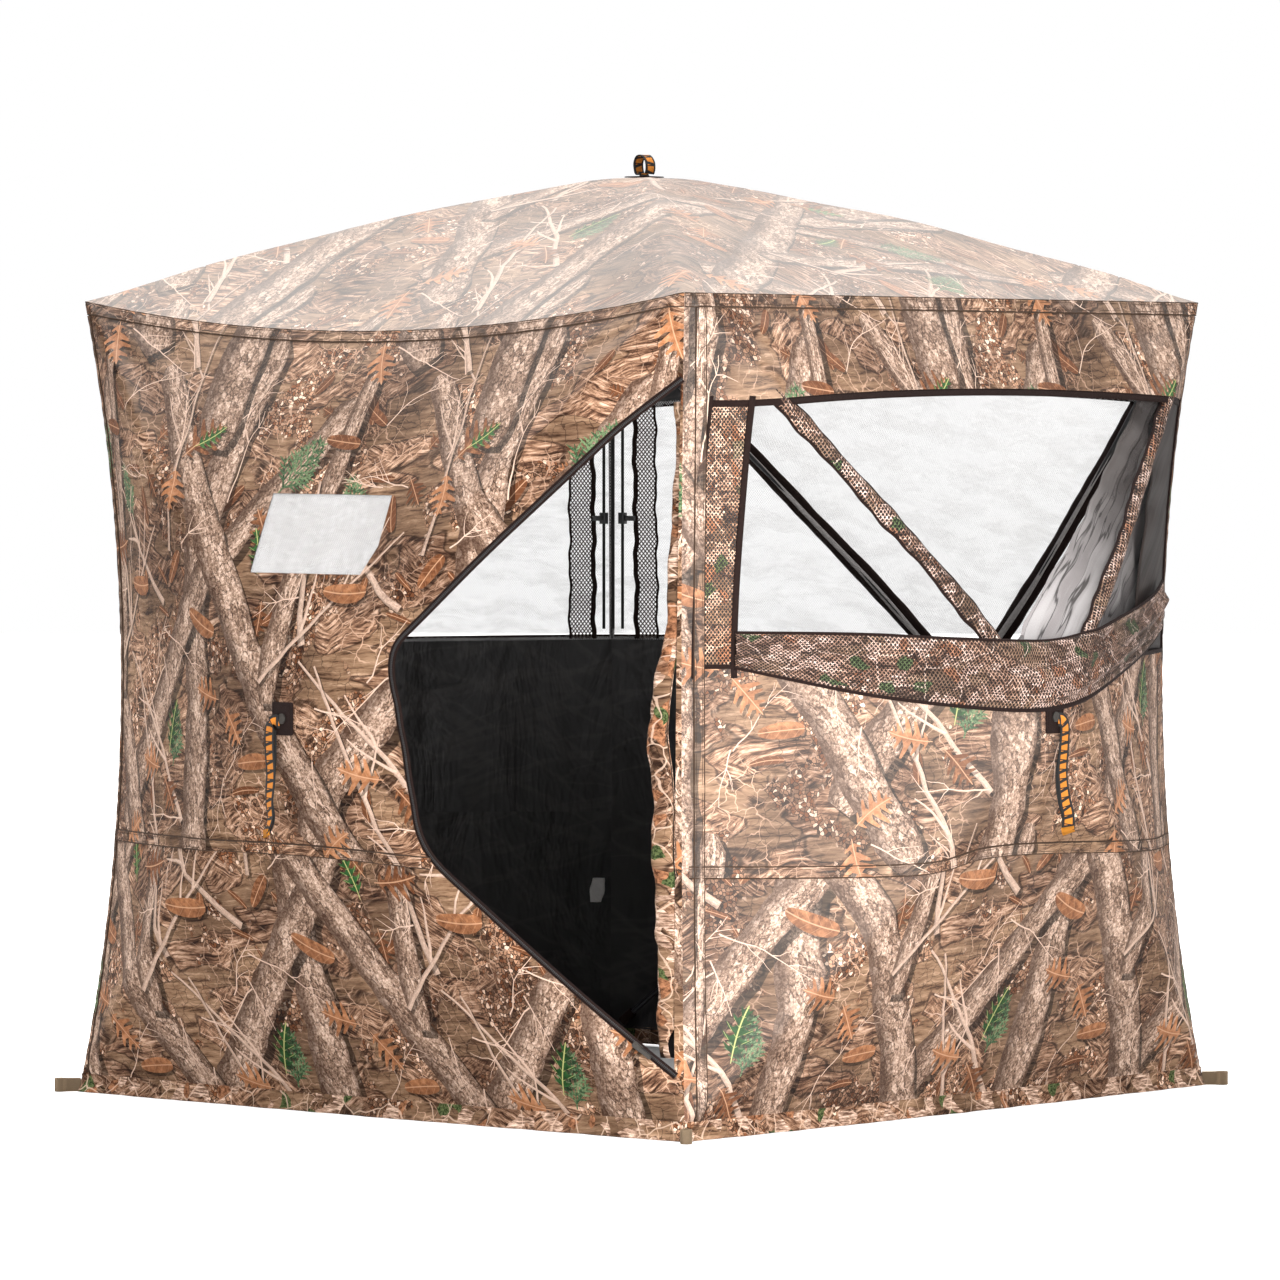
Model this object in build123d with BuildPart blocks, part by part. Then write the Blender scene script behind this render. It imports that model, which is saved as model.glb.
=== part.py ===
"""A five-hub pop up ground blind: four fabric walls and a roof, each held out by a hub and four sprung poles.

Millimetres, +Z up. The origin is on the ground under the middle of the blind. The door is in the front wall
(-Y) and the open shooting window is in the right wall (+X).
"""

from build123d import *
import os
from math import atan2, degrees

# Driving dimensions of the cabin
SIDE_TOP = 1448.0  # between neighbouring roof corners
SIDE_BOTTOM = 1459.0  # between neighbouring ground corners
EAVE_Z = 1448.0
PEAK_Z = 1676.0  # outer face of the fabric at the roof hub
HUB_Z = 710.0  # height of the wall hubs
BULGE = 230.0  # how far a wall hub stands out of its wall's corners
CORNER_WAIST = 48.0  # how far the middle of a corner edge is drawn in, in x and in y
FRONT_EAVE_SAG = 60.0
HEM_BULGE = 14.0
HEM_HEIGHT = 30.0

# Fabric
FABRIC = 2.5
EDGE_GAP = 0.4  # between neighbouring panels, where they are sewn
RIDGE_BOW = 22.0  # the fabric's own crown along a pole
RINGS = 4
PLATE_R = 66.0  # the flat spot over a hub

# Poles
ROD_R = 4.75
POLE_BOW = 27.0
FERRULE_R = 7.0
FERRULE_LENGTH = 60.0
FERRULE_START = 18.0  # from the pivot to the round barrel
TIP_R = 6.0
TIP_LENGTH = 22.0
TIP_INSET = 45.0  # pole tip to the corner, along both edges of its panel
TIP_DEPTH = 12.0  # pole tip's axis under the corner
FOOT_Z = 45.0  # height of the lower tips
JOINT_GAP = 0.3  # between a rod and what is pressed on it

# Hubs
HUB_R = 44.0
HUB_T = 18.0
HUB_GAP = 1.0  # hub face to fabric
PIVOT_R = 30.0
TONGUE_R = 6.5
TONGUE_T = 7.0
SLOT_W = 8.0
SLOT_START = 20.0
PIN_R = 3.0
PIN_LENGTH = 22.0
PIN_PLAY = 0.1
BOLT_R = 3.0
BOLT_HEAD_R = 9.0
BOLT_HEAD_T = 3.0
HUB_DEPTH = FABRIC + HUB_GAP + HUB_T / 2  # hub's middle plane under the fabric's outer face

# Patches and pull straps
PATCH_W, PATCH_H, PATCH_T = 50.0, 58.0, 2.0
PATCH_GAP = 0.4
STRAP_W, STRAP_T, STRAP_LENGTH = 25.0, 4.5, 190.0
STRAP_DROP = 14.0  # hinge line under the hub's middle
LOOP_HEIGHT, LOOP_WIDTH, LOOP_WALL = 36.0, 30.0, 3.5

# Window bands, port and door, in a wall's own plane: across, up
WINDOW_LOW, WINDOW_HIGH = 808.0, 1272.0
WINDOW_HALF = 664.0
MESH_HALF = 655.0
PORT = [(-133, 963), (132, 962), (160, 1012), (163, 1100), (-123, 1102)]
DOOR_TOP = (704, 1304)
DOOR_SHOULDER = (600, 1216)
DOOR_SHOULDER_R = 600.0
DOOR_BOTTOM = (706, 108)
DOOR_WAIST = 652.0
DOOR_NOSE_HIGH = (204, 830)
DOOR_NOSE_LOW = (268, 488)
DOOR_NOSE_R = 85.0
ZIP_W = 15.0  # measured across, level with the ground

# Sleeves, mesh strip and mesh cover of the open window
SLEEVE_W = 44.0
STRIP_HALF = 31.5
STRIP_AT = -632.0
COVER_LOW, COVER_HIGH, COVER_HALF = 730.0, 858.0, 600.0
COVER_STAND_OFF, COVER_T = 6.0, 5.0

# Rolled door flap and zip slider
FLAP_DEPTH, FLAP_T, FLAP_W = 14.0, 9.0, 58.0
FLAP_LOW, FLAP_HIGH = 140.0, 1262.0
SLIDER_AT = (650, 160)
SLIDER_UP_TO = (400, 372)
SLIDER_STAND_OFF = 1.2
SLIDER_LENGTH, SLIDER_W, SLIDER_T = 20.0, 11.0, 4.5
PULL_LENGTH, PULL_W, PULL_T = 34.0, 7.0, 2.0
PULL_HANG = 14.0  # from the slider's middle back to the pull's

# Pole pockets, hem, stake loops
POCKET_R, POCKET_WALL, POCKET_LENGTH = 8.0, 1.5, 30.0
HEM_T = 3.0
STAKE_R, STAKE_WALL, STAKE_HEIGHT, STAKE_REACH = 8.0, 2.5, 25.0, 42.0

# Taut cords and sliding hooks in the far corner
CORD_R = 3.0
CORD_LOW, CORD_HIGH = 822.0, 1392.0
CORD_PLACES = [(-636, 662), (-649, 649), (-662, 636)]
HOOK_Z = 1028.0
HOOK_BORE_R = 3.4
HOOK_BLOCK, HOOK_HEIGHT = 14.0, 22.0
ARM_LENGTH, ARM_T, ARM_HEIGHT = 26.0, 5.0, 10.0
ARM_OUT, ARM_UP = 18.0, 6.0  # from the cord to the arm's middle, and from the block's foot to the arm's

REACH = SIDE_TOP  # deeper than any panel, for cuts through a face

os.makedirs("parts", exist_ok=True)


class Side:
    """One fabric face. Its own frame has u across, v up the face and w out of it."""

    def __init__(self, name, plane, corners, turns_in, mids, mids_in, hub, tips, pole_names, strap_at):
        self.name = name
        self.plane = plane
        self.corners = [Vector(c) for c in corners]
        self.turns_in = [Vector(t) for t in turns_in]
        self.mids = [Vector(m) for m in mids]
        self.mids_in = [Vector(t) for t in mids_in]
        self.hub = Vector(hub)
        self.tips = [Vector(t) for t in tips]
        self.pole_names = pole_names
        self.strap_at = strap_at

    def world(self, point):
        return self.plane.from_local_coords(Vector(point))

    def direction(self, vector):
        return self.world(vector) - self.world((0, 0, 0))

    def spoke(self, corner):
        """Unit direction in the face from the hub to a pole's tip."""
        across = self.tips[corner] - self.hub
        return Vector(across.X, across.Y, 0).normalized()

    def pivot(self, corner):
        return self.hub + self.spoke(corner) * PIVOT_R + Vector(0, 0, -HUB_DEPTH)

    def pole_line(self, corner):
        """A pole's bowed middle line in world space, from its hinge to its tip."""
        start, tip = self.pivot(corner), self.tips[corner]
        chord = (tip - start).normalized()
        crown = (Vector(0, 0, 1) - chord * chord.Z).normalized()
        bend = (start + tip) / 2 + crown * POLE_BOW
        return ThreePointArc(self.world(start), self.world(bend), self.world(tip), mode=Mode.PRIVATE)

    def at(self, depth):
        """The face's own plane moved to a height w."""
        return Plane(origin=self.world((0, 0, depth)), x_dir=self.plane.x_dir, z_dir=self.plane.z_dir)


def make_wall(name, x_dir, z_dir, strap_at, sag=0.0):
    low, high = SIDE_BOTTOM / 2, SIDE_TOP / 2
    waist = (low + high) / 2 - CORNER_WAIST
    middle = (HEM_HEIGHT + EAVE_Z) / 2
    tip_low, tip_high = low - TIP_INSET, high - TIP_INSET
    return Side(
        name,
        Plane(origin=(0, 0, 0), x_dir=x_dir, z_dir=z_dir),
        [(-low, HEM_HEIGHT, low), (low, HEM_HEIGHT, low), (high, EAVE_Z, high), (-high, EAVE_Z, high)],
        [(1, 0, -1), (-1, 0, -1), (-1, -1, -1), (1, -1, -1)],
        [
            (0, HEM_HEIGHT, low + HEM_BULGE),
            (waist, middle, waist),
            (0, EAVE_Z - sag, high),
            (-waist, middle, waist),
        ],
        [(0, 0, -1), (-1, 0, -1), (0, -1, -1), (1, 0, -1)],
        (0, HUB_Z, (low + high) / 2 + BULGE),
        [
            (-tip_low, FOOT_Z, low - TIP_DEPTH),
            (tip_low, FOOT_Z, low - TIP_DEPTH),
            (tip_high, EAVE_Z - TIP_INSET, high - TIP_DEPTH),
            (-tip_high, EAVE_Z - TIP_INSET, high - TIP_DEPTH),
        ],
        ["lower_left", "lower_right", "upper_right", "upper_left"],
        strap_at,
    )


def make_roof():
    half = SIDE_TOP / 2
    tip = half - TIP_INSET
    signs = [(-1, -1), (1, -1), (1, 1), (-1, 1)]
    return Side(
        "roof",
        Plane(origin=(0, 0, 0), x_dir=(1, 0, 0), z_dir=(0, 0, 1)),
        [(sx * half, sy * half, EAVE_Z) for sx, sy in signs],
        [(-sx, -sy, -1) for sx, sy in signs],
        [(0, -half, EAVE_Z - FRONT_EAVE_SAG), (half, 0, EAVE_Z), (0, half, EAVE_Z), (-half, 0, EAVE_Z)],
        [(0, 1, -1), (-1, 0, -1), (0, -1, -1), (1, 0, -1)],
        (0, 0, PEAK_Z),
        [(sx * tip, sy * tip, EAVE_Z - TIP_DEPTH) for sx, sy in signs],
        ["front_left", "front_right", "back_right", "back_left"],
        0.0,
    )


FRONT = make_wall("front", (1, 0, 0), (0, -1, 0), -24.0, FRONT_EAVE_SAG)
RIGHT = make_wall("right", (0, 1, 0), (1, 0, 0), 20.0)
BACK = make_wall("back", (-1, 0, 0), (0, 1, 0), -24.0)
LEFT = make_wall("left", (0, -1, 0), (-1, 0, 0), 20.0)
ROOF = make_roof()
WALLS = [FRONT, RIGHT, BACK, LEFT]
SIDES = WALLS + [ROOF]


def skin_rings(side, depth):
    """Eight-point rings from the hub's flat spot to the edge, `depth` under the outer face, in the world."""
    rows = []
    for step in range(RINGS + 1):
        along = step / RINGS
        ring = []
        edge = step == RINGS
        ridges = []
        for corner, turn in enumerate(side.turns_in):
            end = side.corners[corner]
            if edge:
                ridges.append(end + Vector(turn.X, turn.Y, 0) * EDGE_GAP + turn * depth)
                continue
            across = Vector(end.X - side.hub.X, end.Y - side.hub.Y, 0).normalized()
            start = side.hub + across * PLATE_R
            crown = Vector(0, 0, RIDGE_BOW * 4 * along * (1 - along) - depth)
            ridges.append(start + (end - start) * along + crown)
        for corner in range(4):
            following = (corner + 1) % 4
            ring.append(ridges[corner])
            if edge:
                turn = side.mids_in[corner]
                ring.append(side.mids[corner] + Vector(turn.X, turn.Y, 0) * EDGE_GAP + turn * depth)
            else:
                drawn = side.mids[corner] - (side.corners[corner] + side.corners[following]) / 2
                ring.append((ridges[corner] + ridges[following]) / 2 + drawn * along**2)
        rows.append([side.world(point) for point in ring])
    return rows


def skin(side, depth=0.0, thickness=FABRIC):
    """A closed sheet along the side's fabric, from `depth` to `depth + thickness` under its outer face."""
    outer, inner = skin_rings(side, depth), skin_rings(side, depth + thickness)
    triangles = []

    def band(a, b, turned):
        for here in range(8):
            there = (here + 1) % 8
            pair = [(a[here], b[here], b[there]), (a[here], b[there], a[there])]
            triangles.extend([t[::-1] for t in pair] if turned else pair)

    for row in range(RINGS):
        band(outer[row], outer[row + 1], False)
        band(inner[row], inner[row + 1], True)
    band(outer[-1], inner[-1], False)
    faces = [Face(Wire.make_polygon(t, close=True)) for t in triangles]
    faces.append(Face(Wire.make_polygon(outer[0], close=True)))
    faces.append(Face(Wire.make_polygon(inner[0][::-1], close=True)))
    return Solid(Shell(faces))


def save(piece, name):
    piece.part.label = name
    export_step(piece.part, f"parts/{name}.step")


def door_outline():
    """Adds the door's outline to the sketch being built: a long D whose back follows the corner's waist."""
    with BuildLine() as outline:
        FilletPolyline(
            (DOOR_WAIST, (DOOR_TOP[1] + DOOR_BOTTOM[1]) / 2),
            DOOR_TOP,
            DOOR_SHOULDER,
            DOOR_NOSE_HIGH,
            DOOR_NOSE_LOW,
            DOOR_BOTTOM,
            close=True,
            radius=[0, 2, DOOR_SHOULDER_R, DOOR_NOSE_R, 2 * DOOR_NOSE_R, 2],
        )
    make_face(outline.edges())


def window_band(half=WINDOW_HALF):
    """The window's rectangle in the sketch being built."""
    with Locations((0, (WINDOW_LOW + WINDOW_HIGH) / 2)):
        Rectangle(2 * half, WINDOW_HIGH - WINDOW_LOW)


# Fabric panels
for side in SIDES:
    with BuildPart() as panel:
        add(skin(side))
        with BuildSketch(side.at(0)):
            with Locations((side.hub.X, side.hub.Y)):
                Circle(2 * BOLT_R)
            if side is FRONT:
                door_outline()
                Polygon(*PORT, align=None)
            elif side in WALLS:
                window_band(WINDOW_HALF if side is RIGHT else MESH_HALF)
        extrude(amount=2 * REACH, mode=Mode.SUBTRACT)
    save(panel, "roof" if side is ROOF else f"{side.name}_wall")

# See-through mesh sewn over the back and left windows
for side in (BACK, LEFT):
    with BuildPart() as mesh:
        add(skin(side))
        with BuildSketch(side.at(0)):
            window_band(MESH_HALF)
        extrude(amount=REACH, mode=Mode.INTERSECT)
    save(mesh, f"{side.name}_window_mesh")

# Mesh strip beside the open window's near corner
with BuildPart() as strip:
    add(skin(RIGHT))
    with BuildSketch(RIGHT.at(0)):
        with Locations((STRIP_AT, (WINDOW_LOW + WINDOW_HIGH) / 2)):
            Rectangle(2 * STRIP_HALF, WINDOW_HIGH - WINDOW_LOW)
    extrude(amount=REACH, mode=Mode.INTERSECT)
save(strip, "right_window_strip")

# Sleeves over the two upper poles where they cross the open window
with BuildPart() as sleeves:
    add(skin(RIGHT))
    with BuildSketch(RIGHT.at(0)):
        for corner in (2, 3):
            end, start = RIGHT.corners[corner], RIGHT.hub
            middle = (start + end) / 2
            with Locations((middle.X, middle.Y)):
                Rectangle(REACH, SLEEVE_W, rotation=degrees(atan2(end.Y - start.Y, end.X - start.X)))
    extrude(amount=REACH, mode=Mode.INTERSECT)
    with BuildSketch(RIGHT.at(0)):
        window_band(abs(STRIP_AT) - STRIP_HALF - EDGE_GAP)
    extrude(amount=REACH, mode=Mode.INTERSECT)
save(sleeves, "right_pole_sleeves")

# Mesh cover gathered along the foot of the open window
with BuildPart() as cover:
    add(skin(RIGHT, -COVER_STAND_OFF - COVER_T, COVER_T))
    with BuildSketch(RIGHT.at(0)):
        with Locations((0, (COVER_LOW + COVER_HIGH) / 2)):
            Rectangle(2 * COVER_HALF, COVER_HIGH - COVER_LOW)
        with Locations((0, HUB_Z)):
            Circle(PATCH_W, mode=Mode.SUBTRACT)
    extrude(amount=REACH, mode=Mode.INTERSECT)
save(cover, "window_cover")

# Door flap rolled back along the corner, behind the opening
with BuildPart() as flap:
    add(skin(FRONT, FLAP_DEPTH, FLAP_T))
    with BuildSketch(FRONT.at(0)):
        with BuildLine():
            Polyline(
                (DOOR_WAIST, (FLAP_LOW + FLAP_HIGH) / 2),
                (DOOR_TOP[0] - 4, FLAP_HIGH),
                (DOOR_TOP[0] - 4 - FLAP_W, FLAP_HIGH),
                (DOOR_WAIST - FLAP_W, (FLAP_LOW + FLAP_HIGH) / 2),
                (DOOR_BOTTOM[0] - 4 - FLAP_W, FLAP_LOW),
                (DOOR_BOTTOM[0] - 4, FLAP_LOW),
                close=True,
            )
        make_face()
    extrude(amount=REACH, mode=Mode.INTERSECT)
save(flap, "door_flap")

# Zip tape round the door's open side
with BuildPart() as zipper:
    add(skin(FRONT))
    with BuildSketch(FRONT.at(0)):
        door_outline()
    extrude(amount=REACH, mode=Mode.INTERSECT)
    shifted = Plane(origin=FRONT.world((ZIP_W, 0, 0)), x_dir=FRONT.plane.x_dir, z_dir=FRONT.plane.z_dir)
    with BuildSketch(shifted):
        door_outline()
    extrude(amount=REACH, mode=Mode.SUBTRACT)
save(zipper, "door_zipper")


def on_skin(side, across, up, proud=0.0):
    """The point of a face's outer surface over (across, up), `proud` of it, in world space."""
    ray = Axis(side.world((across, up, 0)), side.direction((0, 0, 1)))
    hits = skin(side).find_intersection_points(ray)
    top = max((side.plane.to_local_coords(point).Z for point, _ in hits))
    return side.world((across, up, top + proud))


# Zip slider with its pull, at the foot of the door
slider_from = on_skin(FRONT, *SLIDER_AT, SLIDER_STAND_OFF)
slider_to = on_skin(FRONT, *SLIDER_UP_TO, SLIDER_STAND_OFF)
slider_run = (slider_to - slider_from).normalized()
with BuildPart() as slider:
    outward = slider_run.cross(Vector(0, 0, 1)).normalized() * -1
    face = Plane(origin=slider_from, x_dir=slider_run, z_dir=outward)
    with BuildSketch(face):
        RectangleRounded(SLIDER_LENGTH, SLIDER_W, 3)
    extrude(amount=SLIDER_T)
    with BuildSketch(face.offset(SLIDER_T)):
        with Locations((-PULL_HANG, 0)):
            RectangleRounded(PULL_LENGTH, PULL_W, 3)
    extrude(amount=PULL_T)
save(slider, "zip_slider")

# Hubs, their fasteners, patches and straps
for side in SIDES:
    top = side.hub.Z
    middle = top - HUB_DEPTH
    centre = (side.hub.X, side.hub.Y)

    with BuildPart() as hub:
        with BuildSketch(side.at(middle - HUB_T / 2)):
            with Locations(centre):
                Circle(HUB_R)
                Circle(BOLT_R + PIN_PLAY, mode=Mode.SUBTRACT)
            for corner in range(4):
                spoke = side.spoke(corner)
                slot = side.hub + spoke * (SLOT_START + HUB_R)
                heading = degrees(atan2(spoke.Y, spoke.X))
                with Locations((slot.X, slot.Y)):
                    Rectangle(2 * HUB_R, SLOT_W, rotation=heading, mode=Mode.SUBTRACT)
        extrude(amount=HUB_T)
        for corner in range(4):
            hinge = side.spoke(corner).cross(Vector(0, 0, 1))
            with BuildSketch(Plane(origin=side.world(side.pivot(corner)), z_dir=side.direction(hinge))):
                Circle(PIN_R + PIN_PLAY)
            extrude(amount=PIN_LENGTH / 2 + 0.5, both=True, mode=Mode.SUBTRACT)
    save(hub, f"{side.name}_hub")

    with BuildPart() as fasteners:
        for corner in range(4):
            hinge = side.spoke(corner).cross(Vector(0, 0, 1))
            with BuildSketch(Plane(origin=side.world(side.pivot(corner)), z_dir=side.direction(hinge))):
                Circle(PIN_R)
            extrude(amount=PIN_LENGTH / 2, both=True)
        head_out = top + PATCH_GAP + PATCH_T + PIN_PLAY
        head_in = middle - HUB_T / 2 - PIN_PLAY - BOLT_HEAD_T
        for start, radius, length in (
            (head_in, BOLT_HEAD_R, BOLT_HEAD_T),
            (head_in, BOLT_R, head_out - head_in),
            (head_out, BOLT_HEAD_R, BOLT_HEAD_T),
        ):
            with BuildSketch(side.at(start)):
                with Locations(centre):
                    Circle(radius)
            extrude(amount=length)
    save(fasteners, f"{side.name}_hub_fasteners")

    with BuildPart() as patch:
        with BuildSketch(side.at(top + PATCH_GAP)):
            with Locations(centre):
                RectangleRounded(PATCH_W, PATCH_H, 4)
                Circle(BOLT_R + 2 * PIN_PLAY, mode=Mode.SUBTRACT)
        extrude(amount=PATCH_T)
    save(patch, f"{side.name}_hub_patch")

    with BuildPart() as strap:
        if side is ROOF:
            foot = (0, 0, head_out + BOLT_HEAD_T + JOINT_GAP)
            with BuildSketch(Plane(origin=foot, x_dir=(1, 0, 0), z_dir=(0, -1, 0))):
                with Locations((0, LOOP_HEIGHT / 2)):
                    SlotOverall(LOOP_HEIGHT, LOOP_WIDTH, rotation=90)
                    inner_height, inner_width = LOOP_HEIGHT - 2 * LOOP_WALL, LOOP_WIDTH - 2 * LOOP_WALL
                    SlotOverall(inner_height, inner_width, rotation=90, mode=Mode.SUBTRACT)
            extrude(amount=STRAP_W / 2, both=True)
        else:
            with BuildSketch(side.at(top + PATCH_GAP + PATCH_T + JOINT_GAP)):
                with Locations((side.strap_at, HUB_Z - STRAP_DROP - STRAP_LENGTH / 2)):
                    RectangleRounded(STRAP_W, STRAP_LENGTH, 6)
            extrude(amount=STRAP_T)
    save(strap, f"{side.name}_pull_strap")

# Poles
for side in SIDES:
    for corner, pole_name in enumerate(side.pole_names):
        run = side.pole_line(corner)
        rod_from = FERRULE_LENGTH / run.length
        rod_to = 1 - TIP_LENGTH / run.length
        heading = run % 0
        hinge = side.direction(side.spoke(corner).cross(Vector(0, 0, 1)))

        with BuildPart() as pole:
            with BuildLine() as axis:
                ThreePointArc(run @ rod_from, run @ 0.5, run @ rod_to)
            with BuildSketch(Plane(origin=run @ rod_from, z_dir=run % rod_from)):
                Circle(ROD_R)
            sweep(path=axis.line)
            with BuildSketch(Plane(origin=run @ 0 + heading * FERRULE_START, z_dir=heading)):
                Circle(FERRULE_R)
            extrude(amount=FERRULE_LENGTH - FERRULE_START - 2 * JOINT_GAP)
            with BuildSketch(Plane(origin=run @ 0, x_dir=heading, z_dir=hinge)):
                Circle(TONGUE_R)
                with Locations((FERRULE_START / 2, 0)):
                    Rectangle(FERRULE_START, 2 * TONGUE_R)
                Circle(PIN_R + PIN_PLAY, mode=Mode.SUBTRACT)
            extrude(amount=TONGUE_T / 2, both=True)
            with BuildSketch(Plane(origin=run @ rod_to + (run % rod_to) * JOINT_GAP, z_dir=run % rod_to)):
                Circle(TIP_R)
            extrude(amount=TIP_LENGTH - JOINT_GAP)
        save(pole, f"{side.name}_pole_{pole_name}")


def pocket(side, corner):
    """Adds a short blind cup round a pole's tip to the part being built."""
    run = side.pole_line(corner)
    base = Plane(origin=run @ 1 + (run % 1) * (POCKET_WALL + JOINT_GAP), z_dir=(run % 1) * -1)
    with BuildSketch(base) as outside:
        Circle(POCKET_R + POCKET_WALL)
    extrude(outside.sketch, amount=POCKET_LENGTH)
    with BuildSketch(base.offset(POCKET_WALL)) as inside:
        Circle(POCKET_R)
    extrude(inside.sketch, amount=POCKET_LENGTH, mode=Mode.SUBTRACT)


# Pole pockets at the roof's and the ground's corners
with BuildPart() as top_pockets:
    for side in WALLS:
        for corner in (2, 3):
            pocket(side, corner)
    for corner in range(4):
        pocket(ROOF, corner)
save(top_pockets, "top_pole_pockets")

with BuildPart() as bottom_pockets:
    for side in WALLS:
        for corner in (0, 1):
            pocket(side, corner)
save(bottom_pockets, "bottom_pole_pockets")

# Hem that stands on the ground
half_ground, half_bulge = SIDE_BOTTOM / 2, SIDE_BOTTOM / 2 + HEM_BULGE
hem_points = [
    (-half_ground, -half_ground),
    (0, -half_bulge),
    (half_ground, -half_ground),
    (half_bulge, 0),
    (half_ground, half_ground),
    (0, half_bulge),
    (-half_ground, half_ground),
    (-half_bulge, 0),
]
with BuildPart() as hem:
    with BuildSketch():
        Polygon(*hem_points, align=None)
    extrude(amount=HEM_HEIGHT - EDGE_GAP)
    with BuildSketch():
        Polygon(*hem_points, align=None)
        offset(amount=-HEM_T, kind=Kind.INTERSECTION, mode=Mode.REPLACE)
    extrude(amount=HEM_HEIGHT, mode=Mode.SUBTRACT)
save(hem, "ground_hem")

# Stake loops at the ground corners: a standing webbing eye and its two tails
with BuildPart() as stakes:
    for turn in range(4):
        out = 45 + 90 * turn
        corner = half_ground * 2**0.5 + JOINT_GAP
        with BuildSketch():
            with PolarLocations(corner + STAKE_REACH, 1, start_angle=out):
                Circle(STAKE_R + STAKE_WALL)
            with PolarLocations(corner + STAKE_REACH / 2, 1, start_angle=out):
                Rectangle(STAKE_REACH, 2 * STAKE_WALL)
            with PolarLocations(corner + STAKE_REACH, 1, start_angle=out):
                Circle(STAKE_R, mode=Mode.SUBTRACT)
        extrude(amount=STAKE_HEIGHT)
save(stakes, "stake_loops")

# Taut cords in the far corner, and the two hooks that slide on them
with BuildPart() as cords:
    for place in CORD_PLACES:
        with BuildSketch(Plane.XY.offset(CORD_LOW)):
            with Locations(place):
                Circle(CORD_R)
        extrude(amount=CORD_HIGH - CORD_LOW)
save(cords, "corner_cords")

for name, (x, y), (step_x, step_y) in (("back", CORD_PLACES[0], (1, 0)), ("left", CORD_PLACES[2], (0, -1))):
    with BuildPart() as hook:
        with BuildSketch(Plane.XY.offset(HOOK_Z)):
            with Locations((x, y)):
                RectangleRounded(HOOK_BLOCK, HOOK_BLOCK, 3)
        extrude(amount=HOOK_HEIGHT)
        with BuildSketch(Plane.XY.offset(HOOK_Z + ARM_UP)):
            with Locations((x + ARM_OUT * step_x, y + ARM_OUT * step_y)):
                Rectangle(ARM_LENGTH if step_x else ARM_T, ARM_LENGTH if step_y else ARM_T)
        extrude(amount=ARM_HEIGHT)
        with BuildSketch(Plane.XY.offset(HOOK_Z)):
            with Locations((x, y)):
                Circle(HOOK_BORE_R)
        extrude(amount=HOOK_HEIGHT, mode=Mode.SUBTRACT)
    save(hook, f"window_hook_{name}")
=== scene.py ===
"""A pop up ground blind: its looks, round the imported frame. Metres, +Z up, door in the front wall (-Y)."""

import math
import re

import bpy
import numpy as np
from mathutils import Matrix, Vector
from mathutils.geometry import delaunay_2d_cdt


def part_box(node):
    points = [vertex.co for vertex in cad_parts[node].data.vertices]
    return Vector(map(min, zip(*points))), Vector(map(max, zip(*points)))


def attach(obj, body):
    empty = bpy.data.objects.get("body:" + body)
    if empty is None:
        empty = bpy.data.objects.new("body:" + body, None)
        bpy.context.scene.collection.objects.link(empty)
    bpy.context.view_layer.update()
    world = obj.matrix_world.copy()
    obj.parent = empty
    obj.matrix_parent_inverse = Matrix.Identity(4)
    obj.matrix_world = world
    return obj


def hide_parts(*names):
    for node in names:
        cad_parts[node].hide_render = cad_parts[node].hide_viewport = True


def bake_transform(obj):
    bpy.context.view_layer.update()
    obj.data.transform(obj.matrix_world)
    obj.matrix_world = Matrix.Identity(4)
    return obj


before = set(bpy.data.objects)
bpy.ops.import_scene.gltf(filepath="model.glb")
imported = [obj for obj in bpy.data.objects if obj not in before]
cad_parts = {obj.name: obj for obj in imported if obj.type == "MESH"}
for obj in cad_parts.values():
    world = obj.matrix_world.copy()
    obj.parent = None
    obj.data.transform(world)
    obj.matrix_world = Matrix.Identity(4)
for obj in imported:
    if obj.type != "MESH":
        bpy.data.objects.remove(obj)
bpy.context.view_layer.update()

# Sizes shared with the CAD part
HALF_TOP, HALF_LOW = 0.724, 0.7295
EAVE, PEAK, HUB_Z, HUB_W = 1.448, 1.676, 0.710, 0.95675
WAIST, SAG, HEM_BULGE, HEM = 0.048, 0.060, 0.014, 0.030
PLATE, BOW = 0.066, 0.022
WIN_LOW, WIN_HIGH, FAR_HIGH = 0.808, 1.272, 1.256
CLOTH_T = 0.001
HORIZON_LIGHT, ZENITH_LIGHT = 0.10, 1.55
TOP_LIGHT, TOP_SPREAD, TOP_AT = 3.9, 60, (-0.56, 0, 4)
SOFTBOX_AT, SOFTBOX_TO, SOFTBOX_SIZE, SOFTBOX_WATTS = (2.2, -1.55, 0.95), (0.78, -0.35, 0.6), 0.8, 60
CAMERA_AT, CAMERA_TURN, CAMERA_DIP, CAMERA_LENS = (9.0550, -10.3470, 1.2260), 41.223, 1.664, 210.2
LOW_LEFT, LOW_RIGHT = (-HALF_LOW, HEM), (HALF_LOW, HEM)
TOP_LEFT, TOP_RIGHT = (-HALF_TOP, EAVE), (HALF_TOP, EAVE)
POLE_START, POLE_END = 0.030, 0.064  # a pole's pins, from the hub's middle and from the corner
EDGE_STEP, SEAM_STEP = 0.012, 0.010  # between the points of outlines, and of seams
WALL_REPEAT_SHIFT = (0.23, 0.41)  # from a wall's upper cloth to its lower one

# ------------------------------------------------------------ shaders


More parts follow.
